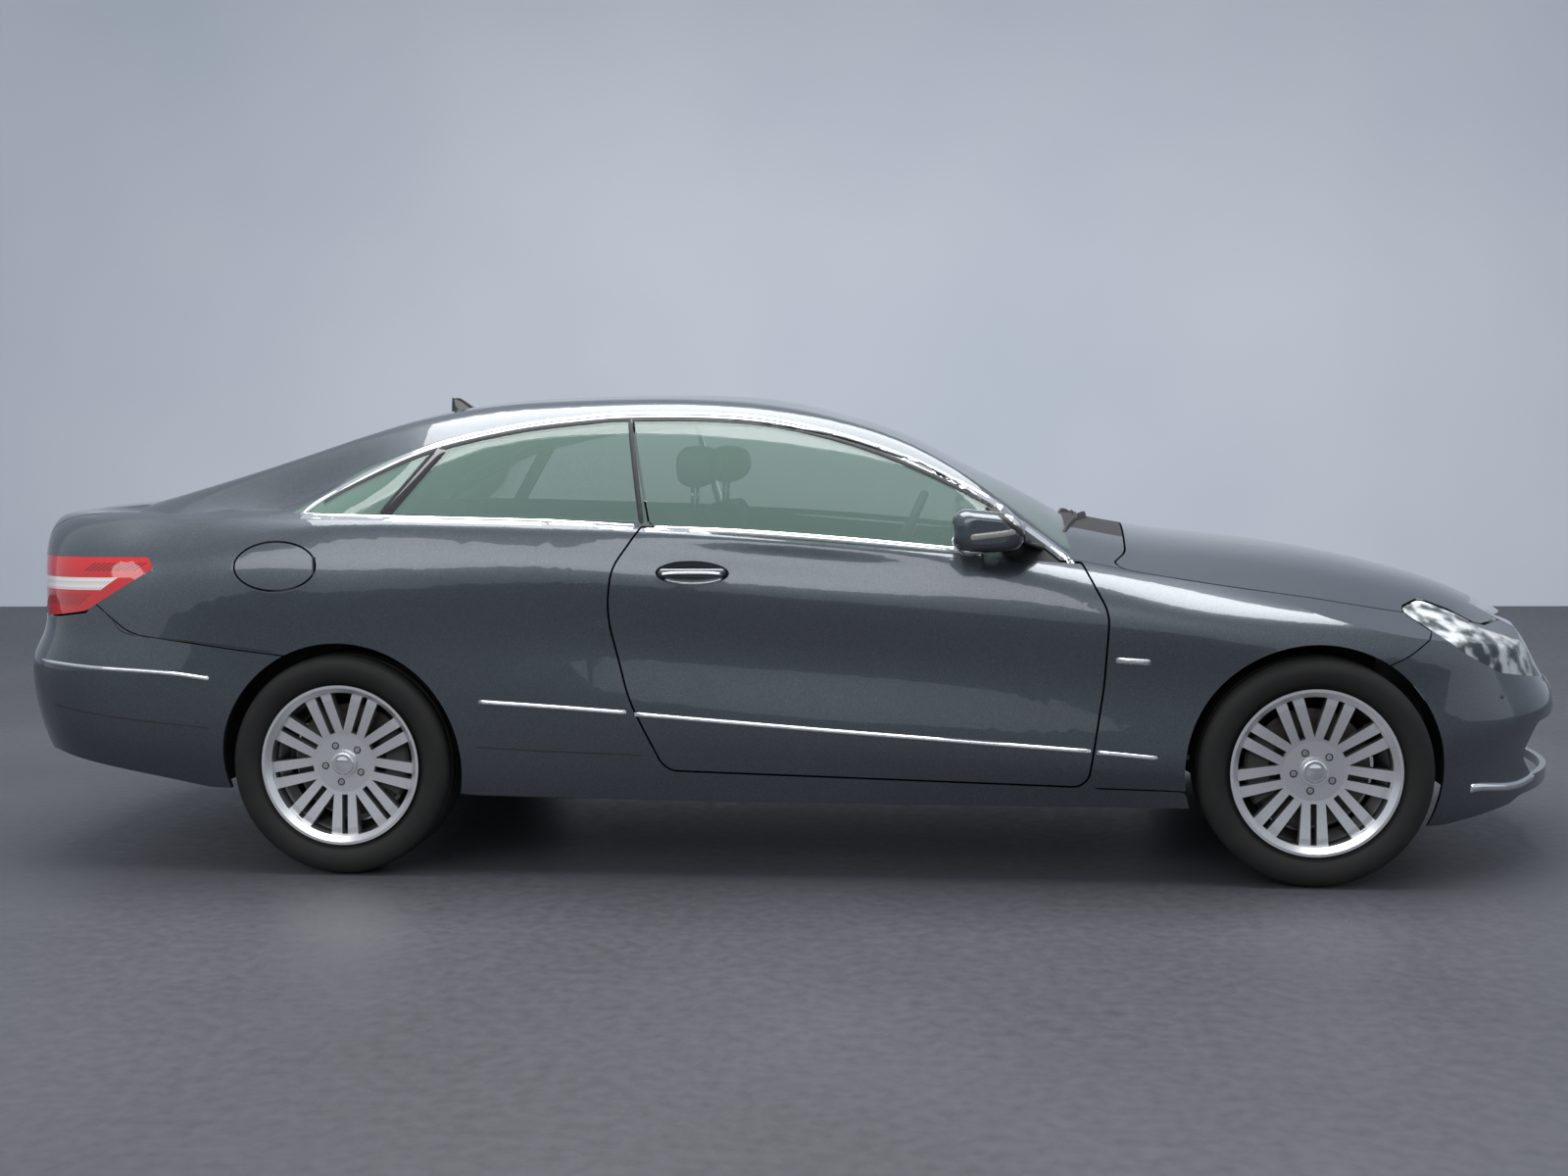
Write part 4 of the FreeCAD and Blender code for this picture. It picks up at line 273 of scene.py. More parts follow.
gloss_black = Finish("gloss_black", roughness=0.12, coat_weight=0.5)
gloss_black.mottle(20, 2, (0.008, 0.008, 0.009), (0.014, 0.014, 0.016))

seal_rubber = Finish("seal_rubber").mottle(60, 3, (0.012, 0.012, 0.012), (0.024, 0.024, 0.024))
seal_rubber.feed("Roughness", seal_rubber.noise(80, 2) * 0.2 + 0.55)

tyre_rubber = Finish("tyre_rubber", specular_ior_level=0.3)
dust = tyre_rubber.noise(18, 5)
tyre_rubber.feed("Base Color", tyre_rubber.blend(dust, (0.007, 0.007, 0.007), (0.021, 0.02, 0.019)))
tyre_rubber.feed("Roughness", dust * 0.2 + 0.68)
tyre_rubber.bump(tyre_rubber.noise(500, 2), 0.2, 0.0004)

under_coat = Finish("under_coat").mottle(8, 4, (0.018, 0.018, 0.018), (0.045, 0.043, 0.04))
under_coat.feed("Roughness", under_coat.noise(30, 2) * 0.3 + 0.55)
under_coat.bump(under_coat.noise(260, 3), 0.35, 0.001)

leather = Finish("grey_leather", roughness=0.5)
cells = leather.node("ShaderNodeTexVoronoi", None, {"Vector": leather.place(), "Scale": 420}, "Distance")
leather.mottle(7, 3, (0.045, 0.046, 0.05), (0.075, 0.077, 0.083))
leather.feed("Roughness", cells * 0.25 + 0.4)
leather.bump(cells, 0.3, 0.0005)

lining = Finish("roof_lining", roughness=0.9).mottle(500, 2, (0.3, 0.3, 0.29), (0.42, 0.42, 0.4))
lining.bump(lining.noise(900, 1), 0.2, 0.0004)

cast_alloy = Finish("cast_alloy", metallic=0.9).mottle(30, 4, (0.25, 0.25, 0.25), (0.45, 0.45, 0.44))
cast_alloy.feed("Roughness", cast_alloy.noise(60, 3) * 0.3 + 0.35)
cast_alloy.bump(cast_alloy.noise(300, 2), 0.3, 0.0006)

# The tail lamp is red with a pale slanted band across its middle, a row of small dark prisms over it, and
# darker pleats below.
red_lens = Finish("red_lens", roughness=0.06, coat_weight=1.0, coat_roughness=0.02)
lens_x, lens_y, lens_z = red_lens.axis("X"), red_lens.axis("Y"), red_lens.axis("Z")
along = lens_x + red_lens.maths_of("ABSOLUTE", lens_y)
slanted = along - lens_z * 1.33
band = (lens_z > 0.829) * (lens_z < 0.865) * (slanted < -2.216) * (along > -1.75)
prisms = (red_lens.maths_of("FRACT", slanted * 62) > 0.45) * (lens_z > 0.884) * (lens_z < 0.908)
prisms = prisms * (slanted < -2.19) * (slanted > -2.37)
pleats = (red_lens.maths_of("FRACT", slanted * 60) > 0.5) * (lens_z < 0.818) * (lens_z > 0.782)
pleats = pleats * (slanted < -2.23)
red = red_lens.blend(red_lens.maths_of("FRACT", lens_z * 160), (0.52, 0.002, 0.006), (0.64, 0.004, 0.01))
dark = red_lens.blend(prisms + pleats * 0.7, red, (0.16, 0.0, 0.002))
white = red_lens.blend(red_lens.maths_of("FRACT", slanted * 85) * red_lens.maths_of("FRACT", lens_z * 55),
                       (0.85, 0.8, 0.78), (0.4, 0.33, 0.32))
red_lens.feed("Base Color", red_lens.blend(band, dark, white))

smoked_lens = Finish("smoked_lens", roughness=0.1, coat_weight=1.0)
smoked_lens.mottle(160, 2, (0.2, 0.19, 0.18), (0.34, 0.32, 0.3))

plain_red = Finish("plain_red_lens", roughness=0.1, coat_weight=1.0)
plain_red.mottle(200, 2, (0.35, 0.004, 0.006), (0.5, 0.008, 0.01))

plate_white = Finish("blank_plate", roughness=0.4).mottle(60, 2, (0.68, 0.68, 0.66), (0.75, 0.75, 0.73))

reflector = Finish("lamp_reflector", metallic=1.0, roughness=0.12)
# The reflector's colour runs in blotches from dark to near white: painted reflections on polished metal. Its
# ribs are a bump.
reflector.feed("Base Color", reflector.blend((reflector.noise(26, 3) - 0.5) * 6 + 0.6, (0.16, 0.18, 0.19),
                                             (0.93, 0.94, 0.95)))
reflector.bump(reflector.maths_of("FRACT", reflector.axis("Y") * 90), 0.3, 0.0015)

# %% [markdown]
# ## Dressing the construction model
# Each node keeps its shape and takes one of the finishes above.

# %% Finishes on the car's own parts
finish_of = {
    "windscreen": screen_glass, "rear_window": screen_glass, "head_lamp_lenses": clear_lens,
    "head_lamp_bodies": reflector, "tail_lamps": red_lens, "boot_lamps": red_lens, "cowl": cowl_paint,
    "grille": chrome, "arch_liners": under_coat, "front_suspension": under_coat, "rear_suspension": under_coat,
    "engine_block": cast_alloy, "radiator": cast_alloy, "exhaust": pipe_steel, "floor_pan": under_coat,
    "firewall": under_coat, "dashboard": black_plastic, "centre_console": black_plastic,
    "front_seats": leather, "rear_seat": leather, "parcel_shelf": lining, "steering_wheel": leather,
    "steering_column": black_plastic, "roof_panel": roof_paint, "boot_lid": lid_paint, "bonnet": lid_paint,
}
for side in sides:
    finish_of["door_glass_" + side] = finish_of["rear_side_glass_" + side] = side_glass
    finish_of["knuckle_" + side] = iron
    finish_of["mirror_" + side] = mirror_paint
    for end in ends:
        finish_of[f"wheel_{end}_{side}"] = alloy
        finish_of[f"tyre_{end}_{side}"] = tyre_rubber
        finish_of[f"brake_disc_{end}_{side}"] = iron
for name, part in nodes.items():
    finish = finish_of.get(name, paint)
    part.data.materials.clear()
    part.data.materials.append(finish.material)
print("dressed", len(nodes), "nodes")

# %% [markdown]
# ## Laying trim on the panels
# Most trim is a thin strip that follows a curved panel. The panels are already there, so a strip starts as
# a flat grid whose points are sent straight at the panel until they meet it, and are then lifted off along
# the panel's own normal to give the strip a crown. That fits any panel without measuring it.


# %% Helpers for new pieces
def smooth_path(points, step):
    """Points about a step apart on a smooth line through the given ones."""
    points = [Vector(point) for point in points]
    ends = [2 * points[0] - points[1]] + points + [2 * points[-1] - points[-2]]
    path = []
    for before, start, end, after in zip(ends, ends[1:], ends[2:], ends[3:]):
        count = max(1, round((end - start).length / step))
        for index in range(count):
            t = index / count
            square, cube = 2 * before - 5 * start + 4 * end - after, 3 * start - before - 3 * end + after
            path.append(0.5 * (2 * start + (end - before) * t + square * t * t + cube * t**3))
    return path + [points[-1]]


def keep(mesh, name, finish, body, smooth=True):
    """Makes an object of a bmesh, gives it a finish and lets it ride on a body."""
    bmesh.ops.recalc_face_normals(mesh, faces=mesh.faces)
    data = bpy.data.meshes.new(name)
    mesh.to_mesh(data)
    mesh.free()
    piece = bpy.data.objects.new(name, data)
    scene.collection.objects.link(piece)
    piece.data.materials.append(finish.material)
    for face in data.polygons:
        face.use_smooth = smooth
    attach(piece, body)
    return piece


def turned(name, profile, place, direction, finish, body, steps=32, ring=False):
    """A piece turned round an axis. The profile gives radius and height, and a ring's profile is a loop."""
    mesh = bmesh.new()
    rim = [mesh.verts.new((radius, 0, height)) for radius, height in profile]
    pairs = list(zip(rim, rim[1:])) + ([(rim[-1], rim[0])] if ring else [])
    edges = [mesh.edges.new(pair) for pair in pairs]
    bmesh.ops.spin(mesh, geom=rim + edges, cent=(0, 0, 0), axis=(0, 0, 1), angle=2 * math.pi, steps=steps,
                   use_merge=True)
    bmesh.ops.remove_doubles(mesh, verts=mesh.verts, dist=0.000001)
    bmesh.ops.rotate(mesh, verts=mesh.verts, matrix=Vector(direction).to_track_quat("Z", "Y").to_matrix())
    bmesh.ops.translate(mesh, verts=mesh.verts, vec=place)
    return keep(mesh, name, finish, body)


def block(name, low, high, rounding, finish, body):
    """A box with rounded edges between two corners."""
    mesh = bmesh.new()
    bmesh.ops.create_cube(mesh, size=1)
    for vert in mesh.verts:
        vert.co = [start + (end - start) * (part + 0.5) for start, end, part in zip(low, high, vert.co)]
    bmesh.ops.bevel(mesh, geom=mesh.edges, offset=rounding, offset_type="OFFSET", affect="EDGES", segments=3,
                    profile=0.5, material=-1)
    return keep(mesh, name, finish, body)


def skin(mesh, rings):
    """Faces between a row of rings of points, and a face over each end."""
    for ring, after in zip(rings, rings[1:]):
        for index in range(len(ring)):
            mesh.faces.new((ring[index - 1], ring[index], after[index], after[index - 1]))
    mesh.faces.new(rings[0])
    mesh.faces.new(rings[-1][::-1])


def tree_of(*names):
    """A search tree over some of the car's panels."""
    mesh = bmesh.new()
    for name in names:
        mesh.from_mesh(nodes[name].data)
    tree = BVHTree.FromBMesh(mesh)
    mesh.free()
    return tree


def laid_strip(name, path, width, rise, finish, body, tree, start, direction, across, columns=6, sink=0.0008):
    """A closed strip laid on a panel. The path and its width lie in a plane, and rays along a direction
    carry them to the panel, or to the panel's nearest point where a ray runs past its edge. The strip's
    edges sink a little below the panel and its middle rises."""
    mesh = bmesh.new()
    bmesh.ops.create_grid(mesh, x_segments=len(path) - 1, y_segments=columns, size=1)
    mesh.verts.ensure_lookup_table()
    rows = sorted(mesh.verts, key=lambda v: (round(v.co.y, 4), v.co.x))
    count = len(path)
    down = Vector(direction).normalized()
    misses, depth = 0, start
    for index, vert in enumerate(rows):
        row, column = divmod(index, count)
        share = 2 * row / columns - 1
        place = Vector(path[column])
        ahead = Vector(path[min(column + 1, count - 1)]) - Vector(path[max(column - 1, 0)])
        side = ahead.cross(down).normalized() if across is None else Vector(across)
        probe = place + side * (share * width / 2) - down * start
        hit, normal, _, _ = tree.ray_cast(probe, down)
        if hit is None:
            misses += 1
            hit, normal = tree.find_nearest(probe + down * depth)[:2]
        else:
            depth = (hit - probe).dot(down)
        if normal.dot(down) > 0:
            normal = -normal
        end = min(1, min(column, count - 1 - column) * 0.5 + 0.15)
        crown = (1 - abs(share)**2.6) * end
        vert.co = hit + normal * (rise * crown - sink * (1 - crown))
    bmesh.ops.solidify(mesh, geom=list(mesh.faces), thickness=0.0025)
    if misses:
        print(name, "missed the panel at", misses, "points")
    return keep(mesh, name, finish, body)


# %% [markdown]
# ## Tyres
# A tyre is one profile turned about the axle: flat tread with deep grooves round it, rounded shoulders,
# and a side wall with a rim guard. The construction model's tyre is a plain ring, so a turned one with real
# grooves takes its place. The cross cuts of the tread are too many to model and go into the material, which
# follows a UV map laid along and across the tread.

# %% Tread material
tread_rubber = Finish("tread_rubber", specular_ior_level=0.35)
tread_uv = tread_rubber.node("ShaderNodeUVMap", {"uv_map": "tread"})
along_tread = tread_rubber.node("ShaderNodeSeparateXYZ", None, {0: tread_uv}, "X")
across_tread = tread_rubber.node("ShaderNodeSeparateXYZ", None, {0: tread_uv}, "Y")
on_tread = (across_tread > 0.0) * (across_tread < 1.0)
slanted = along_tread + tread_rubber.maths_of("ABSOLUTE", across_tread - 0.5) * 0.7
block_place = tread_rubber.maths_of("FRACT", slanted)
sipes = (block_place > 0.86) * on_tread
tread_dust = tread_rubber.noise(16, 5)
tread_rubber.feed("Base Color", tread_rubber.blend(tread_dust, (0.007, 0.007, 0.007), (0.022, 0.021, 0.02)))
tread_rubber.feed("Roughness", tread_dust * 0.2 + 0.68)
tread_rubber.bump(1 - sipes, 0.8, 0.003)


# %% Turned tyres
def turned_tyre(end, side):
    """A tyre turned from half a profile, in the room of the construction model's ring."""
    low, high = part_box(f"tyre_{end}_{side}")
    middle = (low + high) / 2
    radius, half = (high.z - low.z) / 2, (high.y - low.y) / 2
    seat = radius - 0.089
    shares = [(0.80, seat), (0.84, seat + 0.012), (0.93, seat + 0.018), (0.985, seat + 0.036),
              (1.0, seat + 0.052), (0.985, radius - 0.026), (0.93, radius - 0.013), (0.855, radius - 0.0045),
              (0.76, radius - 0.0015), (0.60, radius - 0.0006), (0.585, radius - 0.008), (0.52, radius - 0.008),
              (0.505, radius - 0.0004), (0.24, radius), (0.225, radius - 0.008), (0.155, radius - 0.008),
              (0.14, radius)]
    outline = shares + [(-share, r) for share, r in reversed(shares)]
    mesh = bmesh.new()
    rim = [mesh.verts.new((0, share * half, r)) for share, r in outline]
    edges = [mesh.edges.new(pair) for pair in zip(rim, rim[1:])]
    bmesh.ops.spin(mesh, geom=rim + edges, cent=(0, 0, 0), axis=(0, 1, 0), angle=2 * math.pi, steps=96,
                   use_merge=True)
    inner = [edge for edge in mesh.edges if edge.is_boundary]
    bmesh.ops.bridge_loops(mesh, edges=inner)
    layer = mesh.loops.layers.uv.new("tread")
    for face in mesh.faces:
        angles = [math.atan2(loop.vert.co.x, loop.vert.co.z) for loop in face.loops]
        wrap = max(angles) - min(angles) > math.pi
        for loop, angle in zip(face.loops, angles):
            turn = (angle + 2 * math.pi if wrap and angle < 0 else angle) / (2 * math.pi)
            loop[layer].uv = (turn * 68, loop.vert.co.y / (1.72 * half) + 0.5)
    bmesh.ops.translate(mesh, vec=middle, verts=mesh.verts)
    piece = keep(mesh, f"turned_tyre_{end}_{side}", tread_rubber, f"wheel_{end}_{side}")
    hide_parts(f"tyre_{end}_{side}")


for end in ends:
    for side in sides:
        turned_tyre(end, side)
print("turned four tyres")

# %% [markdown]
# ## Wheel bolts and hub caps
# Five bolts hold each wheel, sunk in round pockets, and a domed cap with a blank face closes the hub. A
# bolt is a six-sided prism with a chamfered head on a round washer; one is made and set round the hub.


# %% Bolts and caps
def wheel_dressing(end, side):
    """The bolts and the cap of one wheel, found on the wheel's own face."""
    body, sign = f"wheel_{end}_{side}", sign_of[side]
    low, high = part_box(body)
    centre = (low + high) / 2
    tree = tree_of(body)

    def face_at(x, z):
        start = Vector((centre.x + x, sign * 1.2, centre.z + z))
        hit = tree.ray_cast(start, Vector((0, -sign, 0)))[0]
        return hit.y if hit else sign * (abs(centre.y) + 0.05)

    mesh = bmesh.new()
    for index in range(5):
        angle = math.radians(44 + 72 * index)
        x, z = 0.056 * math.cos(angle), 0.056 * math.sin(angle)
        bottom = face_at(x + 0.014 * math.cos(angle), z + 0.014 * math.sin(angle))
        for count, radius, start, depth in ((24, 0.0105, -0.016, 0.006), (6, 0.0085, -0.011, 0.013)):
            ring = bmesh.ops.create_circle(mesh, cap_ends=True, segments=count, radius=radius)["verts"]
            bmesh.ops.rotate(mesh, verts=ring, matrix=Matrix.Rotation(math.radians(-90 * sign), 3, "X"))
            bmesh.ops.translate(mesh, verts=ring, vec=(centre.x + x, bottom + sign * start, centre.z + z))
            cap = [face for face in mesh.faces if all(vert in ring for vert in face.verts)]
            top = bmesh.ops.extrude_face_region(mesh, geom=cap)["geom"]
            raised = [item for item in top if isinstance(item, bmesh.types.BMVert)]
            bmesh.ops.translate(mesh, verts=raised, vec=(0, sign * depth, 0))
            edges = [item for item in top if isinstance(item, bmesh.types.BMEdge)]
            bmesh.ops.bevel(mesh, geom=edges, offset=0.0012, affect="EDGES", segments=2, profile=0.5,
                            material=-1)
    keep(mesh, f"wheel_bolts_{end}_{side}", cast_alloy, body, smooth=False)

    mesh = bmesh.new()
    face = face_at(0.036, 0)
    profile = [(0, 0.008), (0.02, 0.0072), (0.0265, 0.0055), (0.0285, 0.0062), (0.0315, 0.0058), (0.033, 0.003),
               (0.033, -0.012)]
    rim = [mesh.verts.new((r, 0, rise)) for r, rise in profile]
    edges = [mesh.edges.new(pair) for pair in zip(rim, rim[1:])]
    bmesh.ops.spin(mesh, geom=rim + edges, cent=(0, 0, 0), axis=(0, 0, 1), angle=2 * math.pi, steps=48,
                   use_merge=True)
    bmesh.ops.remove_doubles(mesh, verts=mesh.verts, dist=0.00001)
    bmesh.ops.rotate(mesh, verts=mesh.verts, matrix=Matrix.Rotation(math.radians(-90 * sign), 3, "X"))
    bmesh.ops.translate(mesh, verts=mesh.verts, vec=(centre.x, face, centre.z))
    keep(mesh, f"hub_cap_{end}_{side}", chrome, body)


for end in ends:
    for side in sides:
        wheel_dressing(end, side)
print("bolted four wheels")

# %% [markdown]
# ## Bright trim round the side windows
# A bright strip frames the side windows: an arc over the top, fixed to the body, and a straight run along
# the foot of the windows, which is fixed to the door and, behind it, to the body. All of it is laid on the
# panels by rays sent in from the side, so a strip is given only by its line in the side view.

# %% Strips laid from the side
trim_trees = {}


def side_strip(name, points, width, rise, finish, body, panels, side):
    """A strip laid on one side of the car along a line of the side view, given in metres."""
    sign = sign_of[side]
    key = tuple(panel.replace("SIDE", side) for panel in panels)
    if key not in trim_trees:
        trim_trees[key] = tree_of(*key)
    path = [(x, sign * 0.5, z) for x, _, z in smooth_path([(x, 0, z) for x, z in points], 0.012)]
    piece = laid_strip(f"{name}_{side}", path, width, rise, finish, body.replace("SIDE", side), trim_trees[key],
                       1.0, (0, -sign, 0), None)


def beside(points, distance):
    """A line of the side view moved across itself, downwards where it runs forwards."""
    moved = []
    for index, (x, z) in enumerate(points):
        before, after = points[max(index - 1, 0)], points[min(index + 1, len(points) - 1)]
        along = Vector((after[0] - before[0], after[1] - before[1])).normalized()
        moved.append((x + along.y * distance, z - along.x * distance))
    return moved


# %% Window strips
window_arc = [(-1.384, 1.041), (-1.332, 1.091), (-1.251, 1.139), (-1.091, 1.213), (-0.953, 1.256),
              (-0.746, 1.298), (-0.54, 1.321), (-0.439, 1.327), (-0.212, 1.325), (-0.031, 1.31), (0.131, 1.277),
              (0.299, 1.225), (0.465, 1.155), (0.621, 1.073), (0.701, 1.01), (0.784, 0.949), (0.854, 0.894)]
quarter_belt = [(-1.384, 1.041), (-1.098, 1.033), (-0.712, 1.022), (-0.523, 1.013), (-0.388, 1.004)]
door_belt = [(-0.374, 1.002), (-0.078, 0.989), (0.25, 0.963), (0.6, 0.928)]
body_panels = ("body_side_SIDE", "roof_panel", "rear_side_glass_SIDE", "door_glass_SIDE", "mirror_SIDE",
               "door_SIDE", "fender_SIDE", "windscreen")
door_panels = ("door_SIDE", "door_glass_SIDE", "mirror_SIDE")
for side in sides:
    side_strip("window_arc_strip", window_arc, 0.019, 0.0045, chrome, "car_body", body_panels, side)
    side_strip("quarter_belt_strip", quarter_belt, 0.019, 0.0045, chrome, "car_body", body_panels, side)
    side_strip("door_belt_strip", door_belt, 0.019, 0.0045, chrome, "door_SIDE", door_panels, side)
print("framed the side windows")

# %% [markdown]
# ## Seals and dividers
# Black rubber runs just inside the bright arc, a black seal stands between the door's pane and the rear
# one, and a black bar divides the rear pane from its small corner light.

# %% Seals
pane_seal = [(-0.427, 1.312), (-0.397, 1.165), (-0.368, 1.012)]
corner_divider = [(-0.978, 1.24), (-1.046, 1.149), (-1.128, 1.036)]
for side in sides:
    side_strip("window_edge_seal", beside(window_arc[1:-1], 0.0155), 0.015, 0.002, seal_rubber, "car_body",
               body_panels, side)
    side_strip("pane_seal", pane_seal, 0.016, 0.003, seal_rubber, "car_body",
               ("rear_side_glass_SIDE", "door_glass_SIDE", "body_side_SIDE"), side)
    side_strip("corner_divider", corner_divider, 0.042, 0.003, gloss_black, "car_body",
               ("rear_side_glass_SIDE", "body_side_SIDE"), side)
print("sealed the side windows")

# %% [markdown]
# ## Low strips, joints and a blank badge
# A thinner bright strip follows the ridge low on the sides, cut at the door's gaps, and another wraps the
# rear bumper. Where two panels meet without a gap in the construction model, a thin dark line is laid.

# %% Low strips and joints
low_panels = ("body_side_SIDE", "door_SIDE", "fender_SIDE", "rear_bumper", "front_bumper")
low_strips = {
    "low_strip_rear": ("car_body", [(-0.838, 0.51), (-0.633, 0.497), (-0.41, 0.481)]),
    "low_strip_door": ("door_SIDE", [(-0.386, 0.477), (0.142, 0.435), (0.466, 0.411), (0.893, 0.38)]),
    "low_strip_wing": ("car_body", [(0.91, 0.3775), (0.993, 0.37), (1.075, 0.362)]),
    "rear_bumper_strip": ("car_body", [(-2.19, 0.617), (-2.108, 0.613), (-1.978, 0.603), (-1.765, 0.589),
                                       (-1.637, 0.573)]),
}
joints = {
    "bumper_crease": [(-2.14, 0.494), (-2.078, 0.482), (-1.89, 0.454), (-1.628, 0.428)],
    "sill_joint_rear": [(-0.861, 0.379), (-0.638, 0.368), (-0.411, 0.36), (-0.366, 0.358)],
    "quarter_joint": [(-1.966, 0.777), (-1.93, 0.742), (-1.876, 0.701), (-1.644, 0.677), (-1.427, 0.651)],
}
for side in sides:
    for name, (body, points) in low_strips.items():
        side_strip(name, points, 0.0125, 0.005, chrome, body, low_panels, side)
    for name, points in joints.items():
        side_strip(name, points, 0.0042, 0.0003, seal_rubber, "car_body", low_panels, side)
    side_strip("blank_wing_badge", [(0.962, 0.6345), (1.01, 0.631), (1.056, 0.628)], 0.017, 0.0035, chrome,
               "car_body", low_panels, side)
print("laid the low strips")

# %% [markdown]
# ## Parking sensors and the front blade
# Small round sensors sit flush in the bumpers, each a shallow disc in the car's colour, and a bright blade
# wraps the lower corner of the front bumper.


# %% Sensors and blade
def disc_on(name, place, direction, radius, rise, finish, body, tree):
    """A shallow round button set on a panel where a ray from a place meets it."""
    hit, normal, _, _ = tree.ray_cast(Vector(place), Vector(direction).normalized())
    if normal.dot(Vector(direction)) > 0:
        normal = -normal
    profile = [(0, rise), (0.8 * radius, rise * 0.9), (0.9 * radius, rise * 0.2), (radius, 0), (radius, -0.002),
               (0, -0.002)]
    turned(name, profile, hit, normal, finish, body, steps=28)


bumper_trees = {"front": tree_of("front_bumper"), "rear": tree_of("rear_bumper")}
blade_points = ((1.95, 0.76, 0.262), (1.979, 0.738, 0.263), (2.066, 0.667, 0.252), (2.124, 0.608, 0.25),
                (2.19, 0.52, 0.262))
for side in sides:
    sign = sign_of[side]
    for index, (x, y, z) in enumerate(((2.05, 0.69, 0.515), (2.3, 0.36, 0.52))):
        start = (x + 0.6, sign * (y + 0.6), z) if index == 0 else (x + 1, sign * y, z)
        disc_on(f"front_sensor_{index}_{side}", start, (-1, -sign, 0) if index == 0 else (-1, 0, 0), 0.011,
                0.0012, paint, "car_body", bumper_trees["front"])
    for index, (y, z) in enumerate(((0.3, 0.53), (0.66, 0.54))):
        disc_on(f"rear_sensor_{index}_{side}", (-3.2, sign * y, z), (1, 0, 0), 0.011, 0.0012, paint, "car_body",
                bumper_trees["rear"])
    blade = [(x, sign * y, z) for x, y, z in blade_points]
    piece = laid_strip(f"front_blade_{side}", smooth_path(blade, 0.012), 0.026, 0.009, chrome, "car_body",
                       bumper_trees["front"], 1.0, (-0.6, -sign * 0.8, 0), (0, 0, 1))
print("set the sensors and blades")

# %% [markdown]
# ## Seats
# A car seat is foam under a leather cover. The cover is cut from flat panels and sewn, so it is tight and
# crowned, pulls in at its ends, and is creased along its seams. Each cushion here starts as a closed cover
# a little smaller than the foam, with raised bolsters. It is then blown up gently as cloth, which rounds
# every edge as stuffing does, and the seams are pressed in after that.


# %% Covers
rear_axle_x, wheelbase, car_height = -1.253, 2.76, 1.397


def seat_points(shares):
    """Places in the car's length and height, given as shares of its wheelbase and its height."""
    return [Vector((rear_axle_x + wheelbase * along, 0, car_height * up)) for along, up in shares]


def cover(outline, width, forward, bolster, columns=14):
    """A closed cover: an outline carried across the seat, with bolsters where it looks forward."""
    points = seat_points(outline)
    loop = smooth_path(points + points[:1], 0.03)[:-1]
    middle = sum(loop, Vector()) / len(loop)
    mesh = bmesh.new()
    rings = []
    for step in range(columns + 1):
        share = 2 * step / columns - 1
        raised = bolster * min(1, max(0, (abs(share) - 0.5) / 0.25)) * (1 - max(0, abs(share) - 0.8) * 2.5)
        ring = []
        for index, place in enumerate(loop):
            along = (loop[(index + 1) % len(loop)] - loop[index - 1]).normalized()
            outward = Vector((along.z, 0, -along.x))
            if outward.dot(place - middle) < 0:
                outward = -outward
            inset = 0.008 + 0.014 * abs(share)**6
            looks = max(0, outward.dot(forward))
            spot = place + outward * (raised * looks - inset)
            ring.append(mesh.verts.new((spot.x, share * (width / 2 - 0.01), spot.z)))
        rings.append(ring)
    skin(mesh, rings)
    return mesh


def apply_modifiers(piece):
    """Makes what a piece's modifiers show its own mesh."""
    shown = piece.evaluated_get(bpy.context.evaluated_depsgraph_get())
    made = bpy.data.meshes.new_from_object(shown)
    piece.modifiers.clear()
    piece.data = made


bolster_seam, seam_size = 0.56, 0.007
cloth_frames = 20


def stuffed(name, node, outline, width, centres, forward, bolster, lift, seams, across):
    """A stuffed cushion, made once and set at each centre across the car. Seams run across it between the
    bolsters, at the given places, and one runs along each bolster."""
    forward, across = Vector(forward), Vector(across)
    first = keep(cover(outline, width, forward, bolster), name, leather, "car_body")
    remesh = first.modifiers.new("voxels", "REMESH")
    remesh.mode, remesh.voxel_size = "VOXEL", 0.006
    apply_modifiers(first)
    start = [vert.co.copy() for vert in first.data.vertices]
    cloth = first.modifiers.new("stuffing", "CLOTH")
    cloth.settings.use_pressure = True
    cloth.settings.uniform_pressure_force = 4
    cloth.settings.effector_weights.gravity = 0
    cloth.point_cache.frame_end = cloth_frames
    for number in range(1, cloth_frames + 1):
        scene.frame_set(number)
    apply_modifiers(first)
    scene.frame_set(1)
    for vert, before in zip(first.data.vertices, start):
        moved = vert.co - before
        if moved.length > lift:
            vert.co = before + moved * (lift / moved.length)
    outwards = [vert.normal.copy() for vert in first.data.vertices]
    lines = seat_points(seams)
    for vert, outward in zip(first.data.vertices, outwards):
        if outward.dot(forward) > 0.25:
            share = abs(vert.co.y) / (width / 2)
            near = [(share - bolster_seam) * width / 2]
            if share < bolster_seam:
                near += [(vert.co - line).dot(across) for line in lines]
            depth = max(math.exp(-(gap / seam_size)**2) for gap in near)
            vert.co -= outward * seam_size * depth
    for face in first.data.polygons:
        face.use_smooth = True
    for index, centre in enumerate(centres):
        data = first.data.copy()
        data.transform(Matrix.Translation((0, centre, 0)))
        piece = bpy.data.objects.new(f"{name}_{index}", data)
        scene.collection.objects.link(piece)
        data.materials.clear()
        data.materials.append(leather.material)
        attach(piece, "car_body")
        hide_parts(node)
    print(name, len(first.data.polygons), "faces each")
    bpy.data.objects.remove(first)


